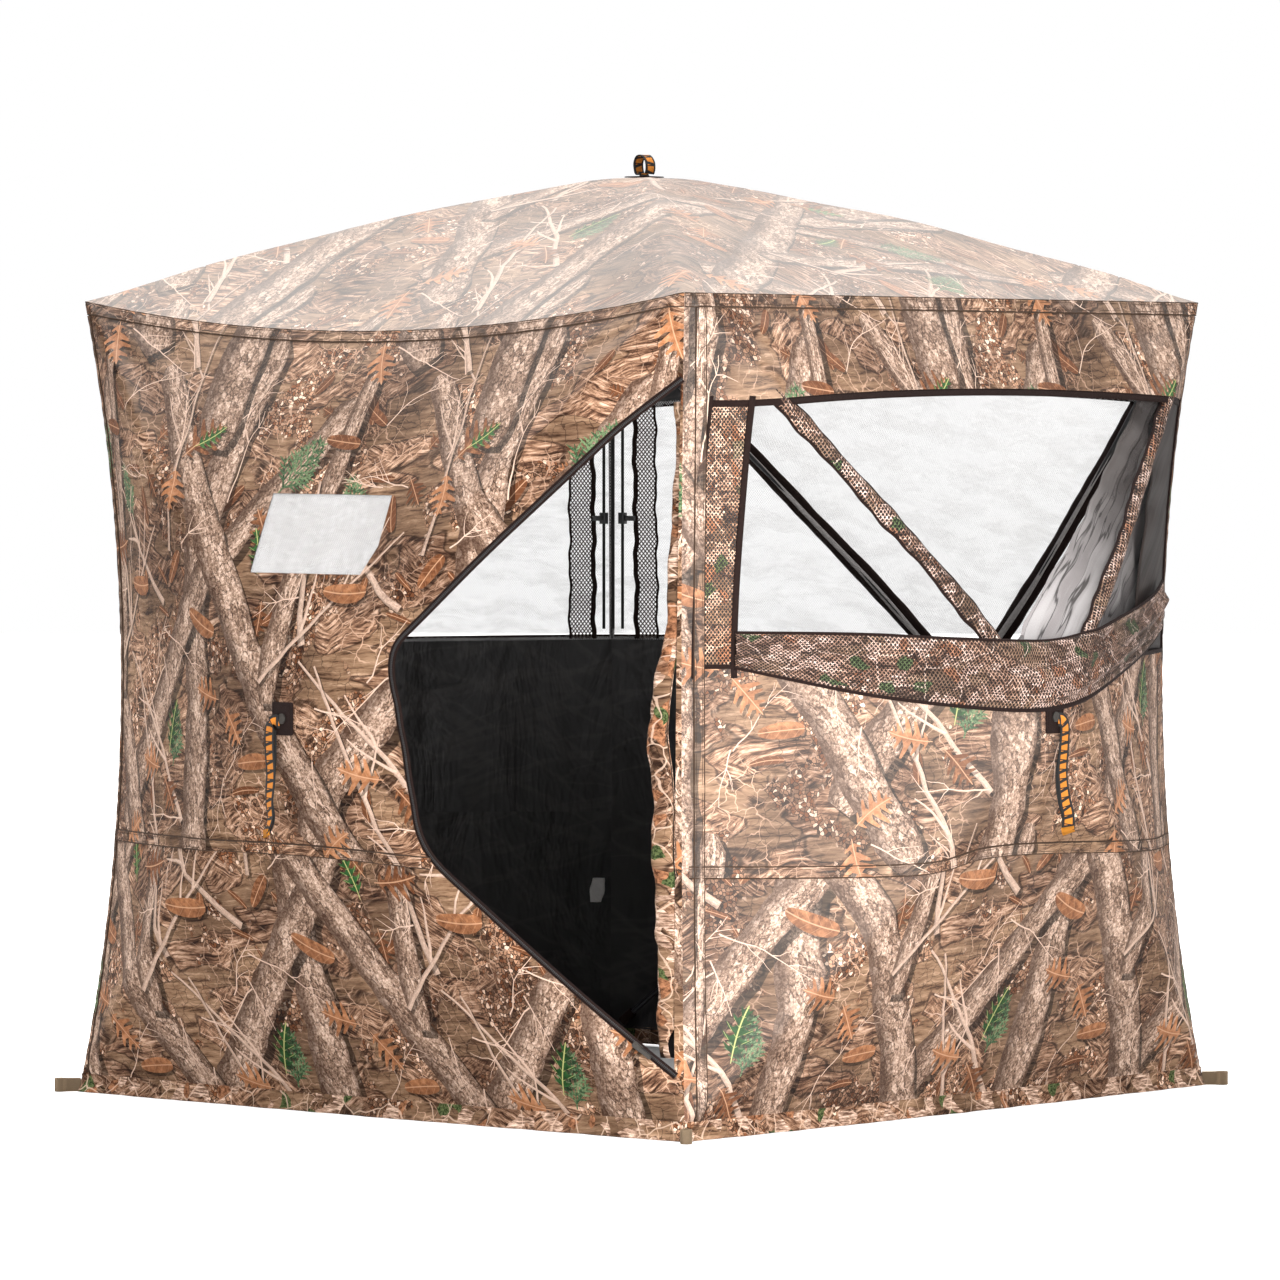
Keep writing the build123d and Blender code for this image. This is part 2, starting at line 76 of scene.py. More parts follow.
class Shader:
    """A Principled material, with short names for the nodes that it is made of."""

    def __init__(self, name, **fixed):
        self.material = bpy.data.materials.new(name)
        self.material.use_nodes = True
        self.tree = self.material.node_tree
        self.tree.nodes.clear()
        self.out = self.tree.nodes.new("ShaderNodeOutputMaterial")
        self.bsdf = self.tree.nodes.new("ShaderNodeBsdfPrincipled")
        self.tree.links.new(self.bsdf.outputs[0], self.out.inputs["Surface"])
        for key, value in fixed.items():
            self.bsdf.inputs[key.replace("_", " ")].default_value = value

    def put(self, socket, value):
        if isinstance(value, bpy.types.NodeSocket):
            self.tree.links.new(value, socket)
        elif isinstance(value, (tuple, list)) and len(value) == 3 and socket.type == "RGBA":
            socket.default_value = (*value, 1)
        else:
            socket.default_value = value

    def node(self, kind, inputs=(), **settings):
        node = self.tree.nodes.new("ShaderNode" + kind)
        for key, value in settings.items():
            setattr(node, key, value)
        for key, value in dict(inputs).items():
            self.put(node.inputs[key], value)
        return node

    def math(self, operation, *values):
        node = self.node("Math", operation=operation)
        for socket, value in zip(node.inputs, values):
            self.put(socket, value)
        return node.outputs[0]

    def times(self, a, b):
        return self.math("MULTIPLY", a, b)

    def plus(self, a, b):
        return self.math("ADD", a, b)

    def minus(self, a, b):
        return self.math("SUBTRACT", a, b)

    def most(self, a, b):
        return self.math("MAXIMUM", a, b)

    def off(self, value, centre=0.0):
        """How far a value is from the centre, either way."""
        return self.math("ABSOLUTE", self.minus(value, centre) if centre else value)

    def tint(self, colour, by):
        return self.mix(1.0, colour, by, "MULTIPLY")

    def mix(self, factor, a, b, mode="MIX"):
        node = self.node("Mix", data_type="RGBA", blend_type=mode, clamp_factor=True)
        for index, value in ((0, factor), (6, a), (7, b)):
            self.put(node.inputs[index], value)
        return node.outputs[2]

    def ramp(self, factor, *stops):
        node = self.node("ValToRGB", {"Fac": factor})
        elements = node.color_ramp.elements
        while len(elements) < len(stops):
            elements.new(0.5)
        for element, (place, colour) in zip(elements, stops):
            element.position = place
            element.color = (*colour, 1) if isinstance(colour, tuple) else (colour, colour, colour, 1)
        return node.outputs[0]

    def step(self, value, low, high):
        """0 under low, 1 over high, smooth between (and the other way round where low > high)."""
        node = self.node("MapRange", interpolation_type="SMOOTHSTEP")
        for key, number in (("Value", value), ("From Min", low), ("From Max", high)):
            self.put(node.inputs[key], number)
        return node.outputs[0]

    def noise(self, vector, scale, detail=3.0, rough=0.55, distortion=0.0):
        look = {"Scale": scale, "Detail": detail, "Roughness": rough, "Distortion": distortion}
        return self.node("TexNoise", {"Vector": vector, **look}).outputs["Fac"]

    def cells(self, vector, scale, feature="F1", output="Distance"):
        inputs = {"Vector": vector, "Scale": scale}
        return self.node("TexVoronoi", inputs, feature=feature, voronoi_dimensions="2D").outputs[output]

    def map(self, vector, scale=(1, 1, 1), turn=0.0, move=(0, 0, 0)):
        place = {"Scale": scale, "Rotation": (0, 0, math.radians(turn)), "Location": move}
        return self.node("Mapping", {"Vector": vector, **place}).outputs[0]

    def streaks(self, vector, scale, lean):
        """Turns a flat place, then stretches it: a noise on it runs in streaks that lean by that angle."""
        return self.map(self.map(vector, turn=-lean, move=(lean * 0.1, 0, 0)), (*scale, 1))

    def cloth(self):
        return self.node("UVMap", uv_map="cloth").outputs[0]

    def parts(self, vector):
        return self.node("SeparateXYZ", {0: vector}).outputs

    def object_place(self):
        return self.node("TexCoord").outputs["Object"]

    def warp(self, vector, scale, amount):
        wobble = self.node("TexNoise", {"Vector": vector, "Scale": scale, "Detail": 2.0}).outputs["Color"]
        centred = self.node("VectorMath", {0: wobble, 1: (0.5, 0.5, 0.5)}, operation="SUBTRACT").outputs[0]
        moved = self.node("VectorMath", {0: centred, "Scale": amount}, operation="SCALE").outputs[0]
        return self.node("VectorMath", {0: vector, 1: moved}, operation="ADD").outputs[0]

    def finish(self, colour=None, rough=None, height=None, depth=0.001, alpha=None):
        if colour is not None:
            self.put(self.bsdf.inputs["Base Color"], colour)
        if rough is not None:
            self.put(self.bsdf.inputs["Roughness"], rough)
        if alpha is not None:
            self.put(self.bsdf.inputs["Alpha"], alpha)
        if height is not None:
            bump = self.node("Bump", {"Height": height, "Distance": depth, "Strength": 1.0})
            self.put(self.bsdf.inputs["Normal"], bump.outputs[0])
        return self.material


WEAVE = 900.0  # threads per metre
PRINT_TINT = (0.97, 0.835, 0.775)


def weave(s, vector):
    """Plain weave: two crossed ribs."""
    x, y, _ = s.parts(vector)
    warp = s.math("SINE", s.times(x, WEAVE * math.tau))
    weft = s.math("SINE", s.times(y, WEAVE * math.tau))
    return s.times(warp, weft)


def ground_colour(s, uv):
    """Dead grass, soft khaki shapes and leaf litter, printed."""
    soft = s.warp(uv, 8.0, 0.045)
    leaning = s.noise(s.streaks(soft, (22, 165), -24), 1.0, 5.0, 0.74)
    falling = s.noise(s.streaks(soft, (24, 150), 34), 1.0, 5.0, 0.74)
    flat = s.noise(s.streaks(soft, (13, 135), 4), 1.0, 5.0, 0.72)
    which = s.noise(uv, 6.0, 1.0)
    strands = s.mix(s.step(which, 0.40, 0.47), leaning, falling)
    strands = s.mix(s.step(which, 0.49, 0.55), strands, flat)
    straw = s.ramp(
        strands,
        (0.38, (0.022, 0.012, 0.008)),
        (0.455, (0.110, 0.064, 0.042)),
        (0.505, (0.235, 0.155, 0.105)),
        (0.56, (0.400, 0.290, 0.210)),
        (0.66, (0.760, 0.640, 0.530)),
    )
    streak = s.noise(s.streaks(s.warp(uv, 20.0, 0.012), (12, 95), 3), 1.0, 5.0, 0.74)
    khaki = s.ramp(
        streak,
        (0.37, (0.050, 0.029, 0.018)),
        (0.45, (0.170, 0.116, 0.074)),
        (0.58, (0.285, 0.212, 0.145)),
        (0.70, (0.520, 0.415, 0.315)),
    )
    patch = s.noise(s.map(uv, (1, 2.0, 1), 10), 6.5, 2.0, 0.4, 0.5)
    colour = s.mix(s.step(patch, 0.50, 0.54), straw, khaki)
    edge = s.times(s.step(patch, 0.487, 0.50), s.step(patch, 0.525, 0.505))
    colour = s.mix(s.times(edge, 0.75), colour, (0.020, 0.011, 0.006))
    rough = s.warp(uv, 55.0, 0.012)
    grain = s.parts(s.cells(rough, 150.0, output="Color"))
    litter = s.mix(grain[0], (0.040, 0.019, 0.010), (0.50, 0.34, 0.235))
    litter = s.mix(s.step(grain[1], 0.84, 0.88), litter, (0.90, 0.78, 0.66))
    litter = s.mix(s.step(grain[2], 0.80, 0.85), litter, (0.20, 0.090, 0.042))
    litter = s.mix(
        s.step(s.cells(rough, 150.0, "DISTANCE_TO_EDGE"), 0.16, 0.02), litter, (0.016, 0.008, 0.005)
    )
    colour = s.mix(s.step(s.noise(s.map(uv, move=(5, 9, 0)), 7.0, 3.0, 0.6), 0.53, 0.58), colour, litter)
    for scale, low, place, shade in (
        (44.0, 0.050, 3.0, (0.030, 0.016, 0.011)), (31.0, 0.040, 8.0, (0.600, 0.470, 0.370))
    ):
        tangle = s.cells(s.warp(s.map(uv, move=(place, place, 0)), 38.0, 0.030), scale, "DISTANCE_TO_EDGE")
        gate = s.step(s.noise(s.map(uv, move=(place, 1, 0)), 6.0, 3.0), 0.46, 0.56)
        colour = s.mix(s.times(s.times(s.step(tangle, low, 0.012), gate), 0.72), colour, shade)
    broad = s.step(s.noise(s.map(uv, move=(2, 4, 0)), 4.2, 2.0), 0.38, 0.62)
    return s.tint(colour, s.mix(broad, (0.56, 0.51, 0.48), (1.10, 1.05, 1.00)))


def painted_sheen(s, colour):
    """Paler where the cloth faces the sky, and a little where it faces the sun: painted light and sheen on its top
    and its sunlit side.
    """
    x, y, up = s.parts(s.node("NewGeometry").outputs["Normal"])
    amount = s.plus(s.times(s.noise(s.cloth(), 5.0, 3.0, 0.6), 0.16), 0.18)
    # painted sheen on the side that faces the sun
    sun_side_sheen = s.step(s.minus(x, s.times(y, 0.35)), 0.88, 1.10)
    amount = s.most(s.times(s.step(up, 0.28, 0.88), amount), s.times(sun_side_sheen, 0.065))
    # painted light: the colour mixed toward a pale grey where the light falls
    return s.mix(amount, colour, (0.76, 0.735, 0.705))


def shaded(s, colour):
    shade = s.node("Attribute", attribute_name="shade").outputs["Fac"]
    colour = s.tint(colour, s.node("CombineColor", {0: shade, 1: shade, 2: shade}).outputs[0])
    # painted light and sheen on the top and the sunlit side
    return painted_sheen(s, s.tint(colour, PRINT_TINT))


def print_place(s):
    """(along, across, tone) of the printed motif that a face belongs to."""
    return s.parts(s.node("Attribute", attribute_name="print").outputs["Vector"])


CLOTH = {"Roughness": 0.8, "Specular_IOR_Level": 0.08, "Sheen_Weight": 0.06, "Sheen_Roughness": 0.3}


def cloth_finish(s, colour):
    uv = s.cloth()
    crumple = s.noise(uv, 38.0, 4.0, 0.6)
    height = s.plus(s.times(weave(s, uv), 0.08), s.times(crumple, 1.0))
    rough = s.step(s.noise(uv, 60.0, 2.0), -0.9, 1.6)
    rough = s.plus(s.times(rough, 0.16), 0.68)
    return s.finish(colour, rough, height, 0.0012)


def make_ground():
    s = Shader("camo_ground", **CLOTH)
    return cloth_finish(s, shaded(s, ground_colour(s, s.cloth())))


def make_bark():
    s = Shader("camo_bark", **CLOTH)
    along, across, tone = print_place(s)
    uv = s.cloth()
    wide = s.node("CombineXYZ", {0: s.times(along, 34.0), 1: s.times(across, 2.6), 2: 0.0})
    rough = s.warp(wide.outputs[0], 2.6, 0.60)
    plate = s.parts(s.cells(rough, 1.6, output="Color"))
    crack = s.step(s.cells(rough, 1.6, "DISTANCE_TO_EDGE"), 0.02, 0.12)
    long = s.node("CombineXYZ", {0: s.times(along, 120.0), 1: s.times(across, 7.0)}).outputs[0]
    fine = s.times(s.plus(s.noise(long, 1.0, 5.0, 0.75), s.noise(uv, 210.0, 4.0, 0.78)), 0.5)
    fine = s.plus(fine, s.times(s.minus(plate[0], 0.5), 0.12))
    base = s.ramp(
        fine,
        (0.38, (0.055, 0.033, 0.023)),
        (0.455, (0.205, 0.145, 0.106)),
        (0.53, (0.410, 0.320, 0.252)),
        (0.63, (0.760, 0.660, 0.570)),
    )
    pale = s.mix(s.noise(uv, 220.0, 3.0, 0.7), (0.36, 0.26, 0.20), (0.92, 0.80, 0.69))
    colour = s.mix(tone, base, pale)
    ink = s.times(s.minus(1.0, crack), s.minus(1.0, tone))
    ink = s.times(ink, s.step(s.noise(uv, 26.0), 0.36, 0.56))
    colour = s.mix(s.times(ink, 0.8), colour, (0.045, 0.026, 0.018))
    side = s.step(s.plus(across, s.times(s.minus(s.noise(uv, 40.0), 0.5), 0.9)), 0.05, 0.9)
    edge = s.step(s.off(across), 0.78, 1.0)
    dark = s.most(s.times(side, 0.78), s.times(edge, 0.6))
    dark = s.times(dark, s.minus(1.0, s.times(tone, 0.75)))
    colour = s.mix(dark, colour, (0.050, 0.027, 0.017))
    return cloth_finish(s, shaded(s, colour))


def make_leaf(name, dark, middle, light, vein, spacing, strength):
    s = Shader(name, **CLOTH)
    along, across, tone = print_place(s)
    uv = s.cloth()
    width = s.off(across)
    rib = s.step(width, 0.016, 0.006)
    ribs = s.math("FRACT", s.math("DIVIDE", s.minus(along, s.times(width, 0.9)), spacing))
    side = s.step(s.off(ribs, 0.5), 0.05, 0.015)
    blotch = s.noise(uv, 70.0, 4.0, 0.65)
    mottled = s.plus(s.times(blotch, 0.75), s.times(tone, 0.35))
    colour = s.ramp(mottled, (0.30, dark), (0.52, middle), (0.80, light))
    lean = s.step(across, -0.16, 0.02)
    colour = s.mix(s.times(lean, 0.35), colour, dark)
    colour = s.mix(s.most(s.times(rib, 0.8), s.times(side, strength)), colour, vein)
    return cloth_finish(s, shaded(s, colour))


def make_sprig():
    s = Shader("camo_sprig", **CLOTH)
    _, _, tone = print_place(s)
    fleck = s.noise(s.cloth(), 260.0, 3.0, 0.7)
    value = s.plus(s.times(fleck, 0.8), s.times(tone, 0.25))
    colour = s.ramp(
        value, (0.32, (0.012, 0.034, 0.016)), (0.5, (0.040, 0.100, 0.048)), (0.7, (0.18, 0.28, 0.15))
    )
    return cloth_finish(s, shaded(s, colour))


def small_camo(s):
    """The same print for narrow pieces, without drawn motifs: litter with touches of bark, leaf and green."""
    uv = s.cloth()
    colour = ground_colour(s, uv)
    blot = s.warp(s.warp(uv, 14.0, 0.05), 60.0, 0.008)
    cell = s.parts(s.cells(blot, 42.0, output="Color"))
    grain = s.noise(s.map(uv, (40, 240, 1), 60), 1.0, 4.0, 0.7)
    bark = s.ramp(
        grain, (0.40, (0.10, 0.06, 0.04)), (0.52, (0.42, 0.31, 0.235)), (0.64, (0.88, 0.76, 0.65))
    )
    leaf = s.ramp(s.noise(uv, 120.0, 4.0, 0.7), (0.38, (0.07, 0.028, 0.013)), (0.62, (0.42, 0.22, 0.12)))
    green = s.ramp(s.noise(uv, 200.0, 4.0, 0.7), (0.42, (0.014, 0.030, 0.010)), (0.60, (0.12, 0.17, 0.07)))
    colour = s.mix(s.step(cell[0], 0.72, 0.74), colour, bark)
    colour = s.mix(s.step(cell[1], 0.91, 0.93), colour, leaf)
    colour = s.mix(s.step(cell[2], 0.95, 0.96), colour, green)
    twig = s.step(s.cells(s.warp(uv, 12.0, 0.06), 13.0, "DISTANCE_TO_EDGE"), 0.022, 0.010)
    colour = s.mix(s.times(twig, 0.6), colour, (0.70, 0.58, 0.47))
    return s.tint(colour, PRINT_TINT)


def make_small():
    s = Shader("camo_small", **CLOTH)
    return cloth_finish(s, small_camo(s))


def make_lining():
    s = Shader("black_lining", Roughness=0.5, Specular_IOR_Level=0.5, Sheen_Weight=0.03)
    uv = s.cloth()
    folds = s.noise(s.map(uv, (1, 0.45, 1), 18), 9.0, 4.0, 0.55, 0.4)
    fine = s.noise(uv, 60.0, 3.0)
    colour = s.mix(s.noise(uv, 18.0, 3.0), (0.0040, 0.0032, 0.0032), (0.0120, 0.0096, 0.0094))
    # painted highlights: pale lines along the creases, where the folds catch the light
    for lean, wide in ((38, 9.0), (-14, 13.0)):
        crease = s.noise(s.streaks(s.warp(uv, 6.0, 0.05), (2.5, wide), lean), 1.0, 3.0, 0.5)
        painted_crease_highlight = s.step(s.off(crease, 0.5), 0.035, 0.0)
        colour = s.mix(s.times(painted_crease_highlight, 0.55), colour, (0.030, 0.025, 0.024))
    rough = s.plus(s.times(fine, 0.2), 0.38)
    height = s.plus(s.times(folds, 16.0), s.plus(s.times(fine, 0.6), s.times(weave(s, uv), 0.05)))
    return s.finish(colour, rough, height, 0.0014)


def holes(s, vector, pitch, thread):
    """1 on the threads of a diamond net and 0 in its holes."""
    x, y, _ = s.parts(vector)
    a = s.math("FRACT", s.math("DIVIDE", s.plus(s.times(x, 1.35), y), pitch))
    b = s.math("FRACT", s.math("DIVIDE", s.minus(s.times(x, 1.35), y), pitch))
    near = s.math("MINIMUM", s.off(a, 0.5), s.off(b, 0.5))
    return s.step(near, thread + 0.03, thread - 0.03)


def make_net(name, thread, cloud, dark, light):
    """Fine pale net: its threads, and the folds in it that catch the light."""
    s = Shader(name, Roughness=0.6, Specular_IOR_Level=0.2)
    uv = s.cloth()
    cloudy = s.noise(s.streaks(s.warp(uv, 9.0, 0.05), (9, 26), 6), 1.0, 4.0, 0.6)
    threads = holes(s, uv, 0.0060, thread)
    haze = s.times(s.step(cloudy, 0.40, 0.66), cloud)
    colour = s.mix(s.noise(uv, 14.0, 3.0), dark, light)
    return s.finish(colour, 0.6, s.noise(uv, 400.0, 1.0), 0.0004, s.most(threads, haze))


def make_camo_net():
    s = Shader("camo_net", Roughness=0.7, Specular_IOR_Level=0.3)
    uv = s.cloth()
    threads = holes(s, uv, 0.0088, 0.16)
    colour = s.tint(small_camo(s), (1.05, 0.98, 0.92))
    # painted shade: the holes nearly black and mostly opaque, for the dark inside behind the net
    colour = s.mix(threads, (0.010, 0.007, 0.006), colour)
    return s.finish(colour, 0.7, threads, 0.0006, s.most(threads, 0.80))


def make_cover_net():
    """The same net folded on itself, so that few holes show and its threads print a fine diamond. The layer
    beneath is painted shade: its camo darkened to 0.14, and the holes through both nearly black.
    """
    s = Shader("cover_net", Roughness=0.75, Specular_IOR_Level=0.25)
    uv = s.cloth()
    first = holes(s, uv, 0.0102, 0.130)
    second = holes(s, s.map(uv, turn=7, move=(0.003, 0.001, 0)), 0.0102, 0.10)
    camo = s.tint(small_camo(s), (1.12, 1.17, 1.32))
    # painted shade: the lower layer darkened, its holes nearly black
    under = s.mix(second, (0.006, 0.004, 0.0035), s.tint(camo, (0.14, 0.13, 0.12)))
    return s.finish(s.mix(first, under, camo), 0.75, first, 0.0010)


def make_dark_net():
    s = Shader("dark_net", Roughness=0.7, Specular_IOR_Level=0.3)
    uv = s.cloth()
    threads = holes(s, uv, 0.0095, 0.185)
    colour = s.mix(s.noise(uv, 40.0, 3.0), (0.030, 0.019, 0.017), (0.130, 0.098, 0.088))
    return s.finish(colour, 0.7, s.noise(uv, 300.0, 1.0), 0.0006, threads)


def make_veil(name, dark, light, cover):
    """Thin cloth gathered in creases that lean with the pole beside it. Painted shade darkens it toward its upper
    far end, in its creases and on one side of its folds.
    """
    s = Shader(name, Roughness=0.6, Specular_IOR_Level=0.2)
    uv = s.cloth()
    x, y, _ = s.parts(uv)
    folds = s.noise(s.streaks(s.warp(uv, 4.0, 0.02), (2.2, 30), 41), 1.0, 3.0, 0.55)
    crease = s.step(s.off(folds, 0.5), 0.022, 0.0)
    # painted shade: darker toward the upper far end
    depth = s.step(s.plus(s.plus(x, y), s.times(s.noise(uv, 9.0, 3.0), 0.25)), 1.06, 1.66)
    colour = s.mix(depth, light, dark)
    # painted shade on one side of each fold
    colour = s.mix(s.step(folds, 0.42, 0.62), s.tint(colour, (0.62, 0.60, 0.60)), colour)
    # painted shade in the creases
    colour = s.mix(s.times(crease, 0.85), colour, (0.014, 0.011, 0.010))
    solid = s.most(crease, cover)
    return s.finish(colour, 0.6, folds, 0.003, s.most(holes(s, uv, 0.0042, 0.10), solid))


def make_tape(name, dark, light, ribs=700.0):
    s = Shader(name, Roughness=0.8, Specular_IOR_Level=0.12, Sheen_Weight=0.0)
    uv = s.cloth()
    x, y, _ = s.parts(uv)
    rib = s.math("SINE", s.times(s.plus(x, s.times(y, 0.4)), ribs * math.tau))
    colour = s.mix(s.noise(uv, 160.0, 4.0, 0.7), dark, light)
    return s.finish(colour, s.plus(s.times(s.noise(uv, 90.0), 0.2), 0.62), rib, 0.0003)


def make_strap():
    """Black ribbed webbing with orange bars woven in. Its cloth UV is metres along, and -1 to 1 across."""
    s = Shader("strap_webbing", Roughness=0.7, Specular_IOR_Level=0.35)
    uv = s.cloth()
    x, y, _ = s.parts(uv)
    place = s.math("FRACT", s.math("DIVIDE", x, 0.0165))
    slant = s.math("FRACT", s.math("DIVIDE", s.plus(x, s.times(y, 0.0035)), 0.0165))
    bar = s.times(s.step(slant, 0.30, 0.36), s.step(place, 0.92, 0.86))
    inside = s.step(s.off(y), 0.66, 0.58)
    mark = s.times(bar, inside)
    weft = s.math("SINE", s.times(x, 900.0 * math.tau))
    grain = s.noise(uv, 500.0, 2.0)
    black = s.mix(grain, (0.006, 0.006, 0.006), (0.022, 0.020, 0.019))
    orange = s.mix(grain, (0.62, 0.17, 0.012), (0.88, 0.34, 0.035))
    colour = s.mix(mark, black, orange)
    return s.finish(colour, s.plus(s.times(grain, 0.2), 0.6), weft, 0.0004)


def make_hard(name, dark, light, scale, rough, metal=0.0, depth=0.0002, stretch=(1, 1, 1)):
    s = Shader(name, Metallic=metal)
    place = s.map(s.object_place(), stretch)
    grain = s.noise(place, scale, 5.0, 0.65)
    colour = s.mix(grain, dark, light)
    worn = s.plus(s.times(s.noise(place, scale * 0.3, 3.0), 0.25), rough - 0.12)
    return s.finish(colour, worn, grain, depth)


def make_floor():
    """Pale, and white to the camera itself, so that the object stands on a clean ground."""
    s = Shader("studio_floor", Roughness=0.85, Specular_IOR_Level=0.1)
    spot = s.noise(s.object_place(), 0.6, 2.0)
    x, y, _ = s.parts(s.object_place())
    open_air = s.step(s.most(s.off(x), s.off(y)), 0.700, 0.728)
    direct = s.times(s.node("LightPath").outputs["Is Camera Ray"], open_air)
    s.bsdf.inputs["Emission Color"].default_value = (1, 1, 1, 1)
    s.put(s.bsdf.inputs["Emission Strength"], s.times(direct, 0.75))
    return s.finish(s.mix(spot, (0.70, 0.69, 0.68), (0.74, 0.73, 0.72)))


M = {
    "ground": make_ground(),
    "bark": make_bark(),
    "leaf": make_leaf(
        "camo_leaf", (0.120, 0.050, 0.022), (0.410, 0.205, 0.100), (0.700, 0.460, 0.290),
        (0.55, 0.36, 0.23), 0.21, 0.28
    ),
    "green": make_leaf(
        "camo_green_leaf", (0.008, 0.036, 0.010), (0.028, 0.120, 0.034), (0.110, 0.270, 0.080),
        (0.50, 0.58, 0.24), 0.17, 0.6
    ),
    "sprig": make_sprig(),
    "lining": make_lining(),
    "small": make_small(),
    "net": make_net("window_net", 0.030, 0.13, (0.88, 0.85, 0.84), (0.98, 0.96, 0.95)),
    "port_net": make_net("port_net", 0.120, 0.30, (0.40, 0.385, 0.38), (0.56, 0.545, 0.54)),
    "camo_net": make_camo_net(),
    "cover_net": make_cover_net(),
    "dark_net": make_dark_net(),
    "veil": make_veil("grey_veil", (0.09, 0.078, 0.074), (0.46, 0.435, 0.43), 0.78),
    # painted shade: a darker copy of the veil, for the net in shade at the window's far end
    "painted_shade_net": make_veil("painted_shade_net", (0.022, 0.015, 0.013), (0.075, 0.058, 0.052), 0.93),
    "tape": make_tape("dark_binding", (0.0055, 0.0026, 0.0022), (0.026, 0.0125, 0.0100)),
    "grey_mesh": make_tape("grey_mesh_tape", (0.16, 0.147, 0.141), (0.66, 0.62, 0.605), 260.0),
    "thread": make_tape("brown_thread", (0.030, 0.018, 0.012), (0.090, 0.055, 0.036)),
    "webbing": make_tape("camo_webbing", (0.13, 0.085, 0.05), (0.42, 0.31, 0.20), 450.0),
    "strap": make_strap(),
    "strap_edge": make_tape("orange_webbing", (0.45, 0.12, 0.010), (0.85, 0.38, 0.05), 450.0),
    "moulded": make_hard("moulded_black", (0.010, 0.010, 0.011), (0.026, 0.025, 0.025), 240.0, 0.48),
    "zinc": make_hard("dark_zinc", (0.045, 0.040, 0.036), (0.12, 0.11, 0.10), 300.0, 0.42, 0.9),
    "rod": make_hard(
        "fibreglass_rod", (0.011, 0.011, 0.012), (0.030, 0.030, 0.032), 90.0, 0.34, 0.0, 0.0001, (1, 1, 8)
    ),
    "cord": make_tape("braided_cord", (0.008, 0.008, 0.008), (0.028, 0.027, 0.026), 300.0),
    "tag": make_tape("blank_tag", (0.50, 0.48, 0.46), (0.66, 0.64, 0.62), 300.0),
    "floor": make_floor(),
}

# ------------------------------------------------------------ panels


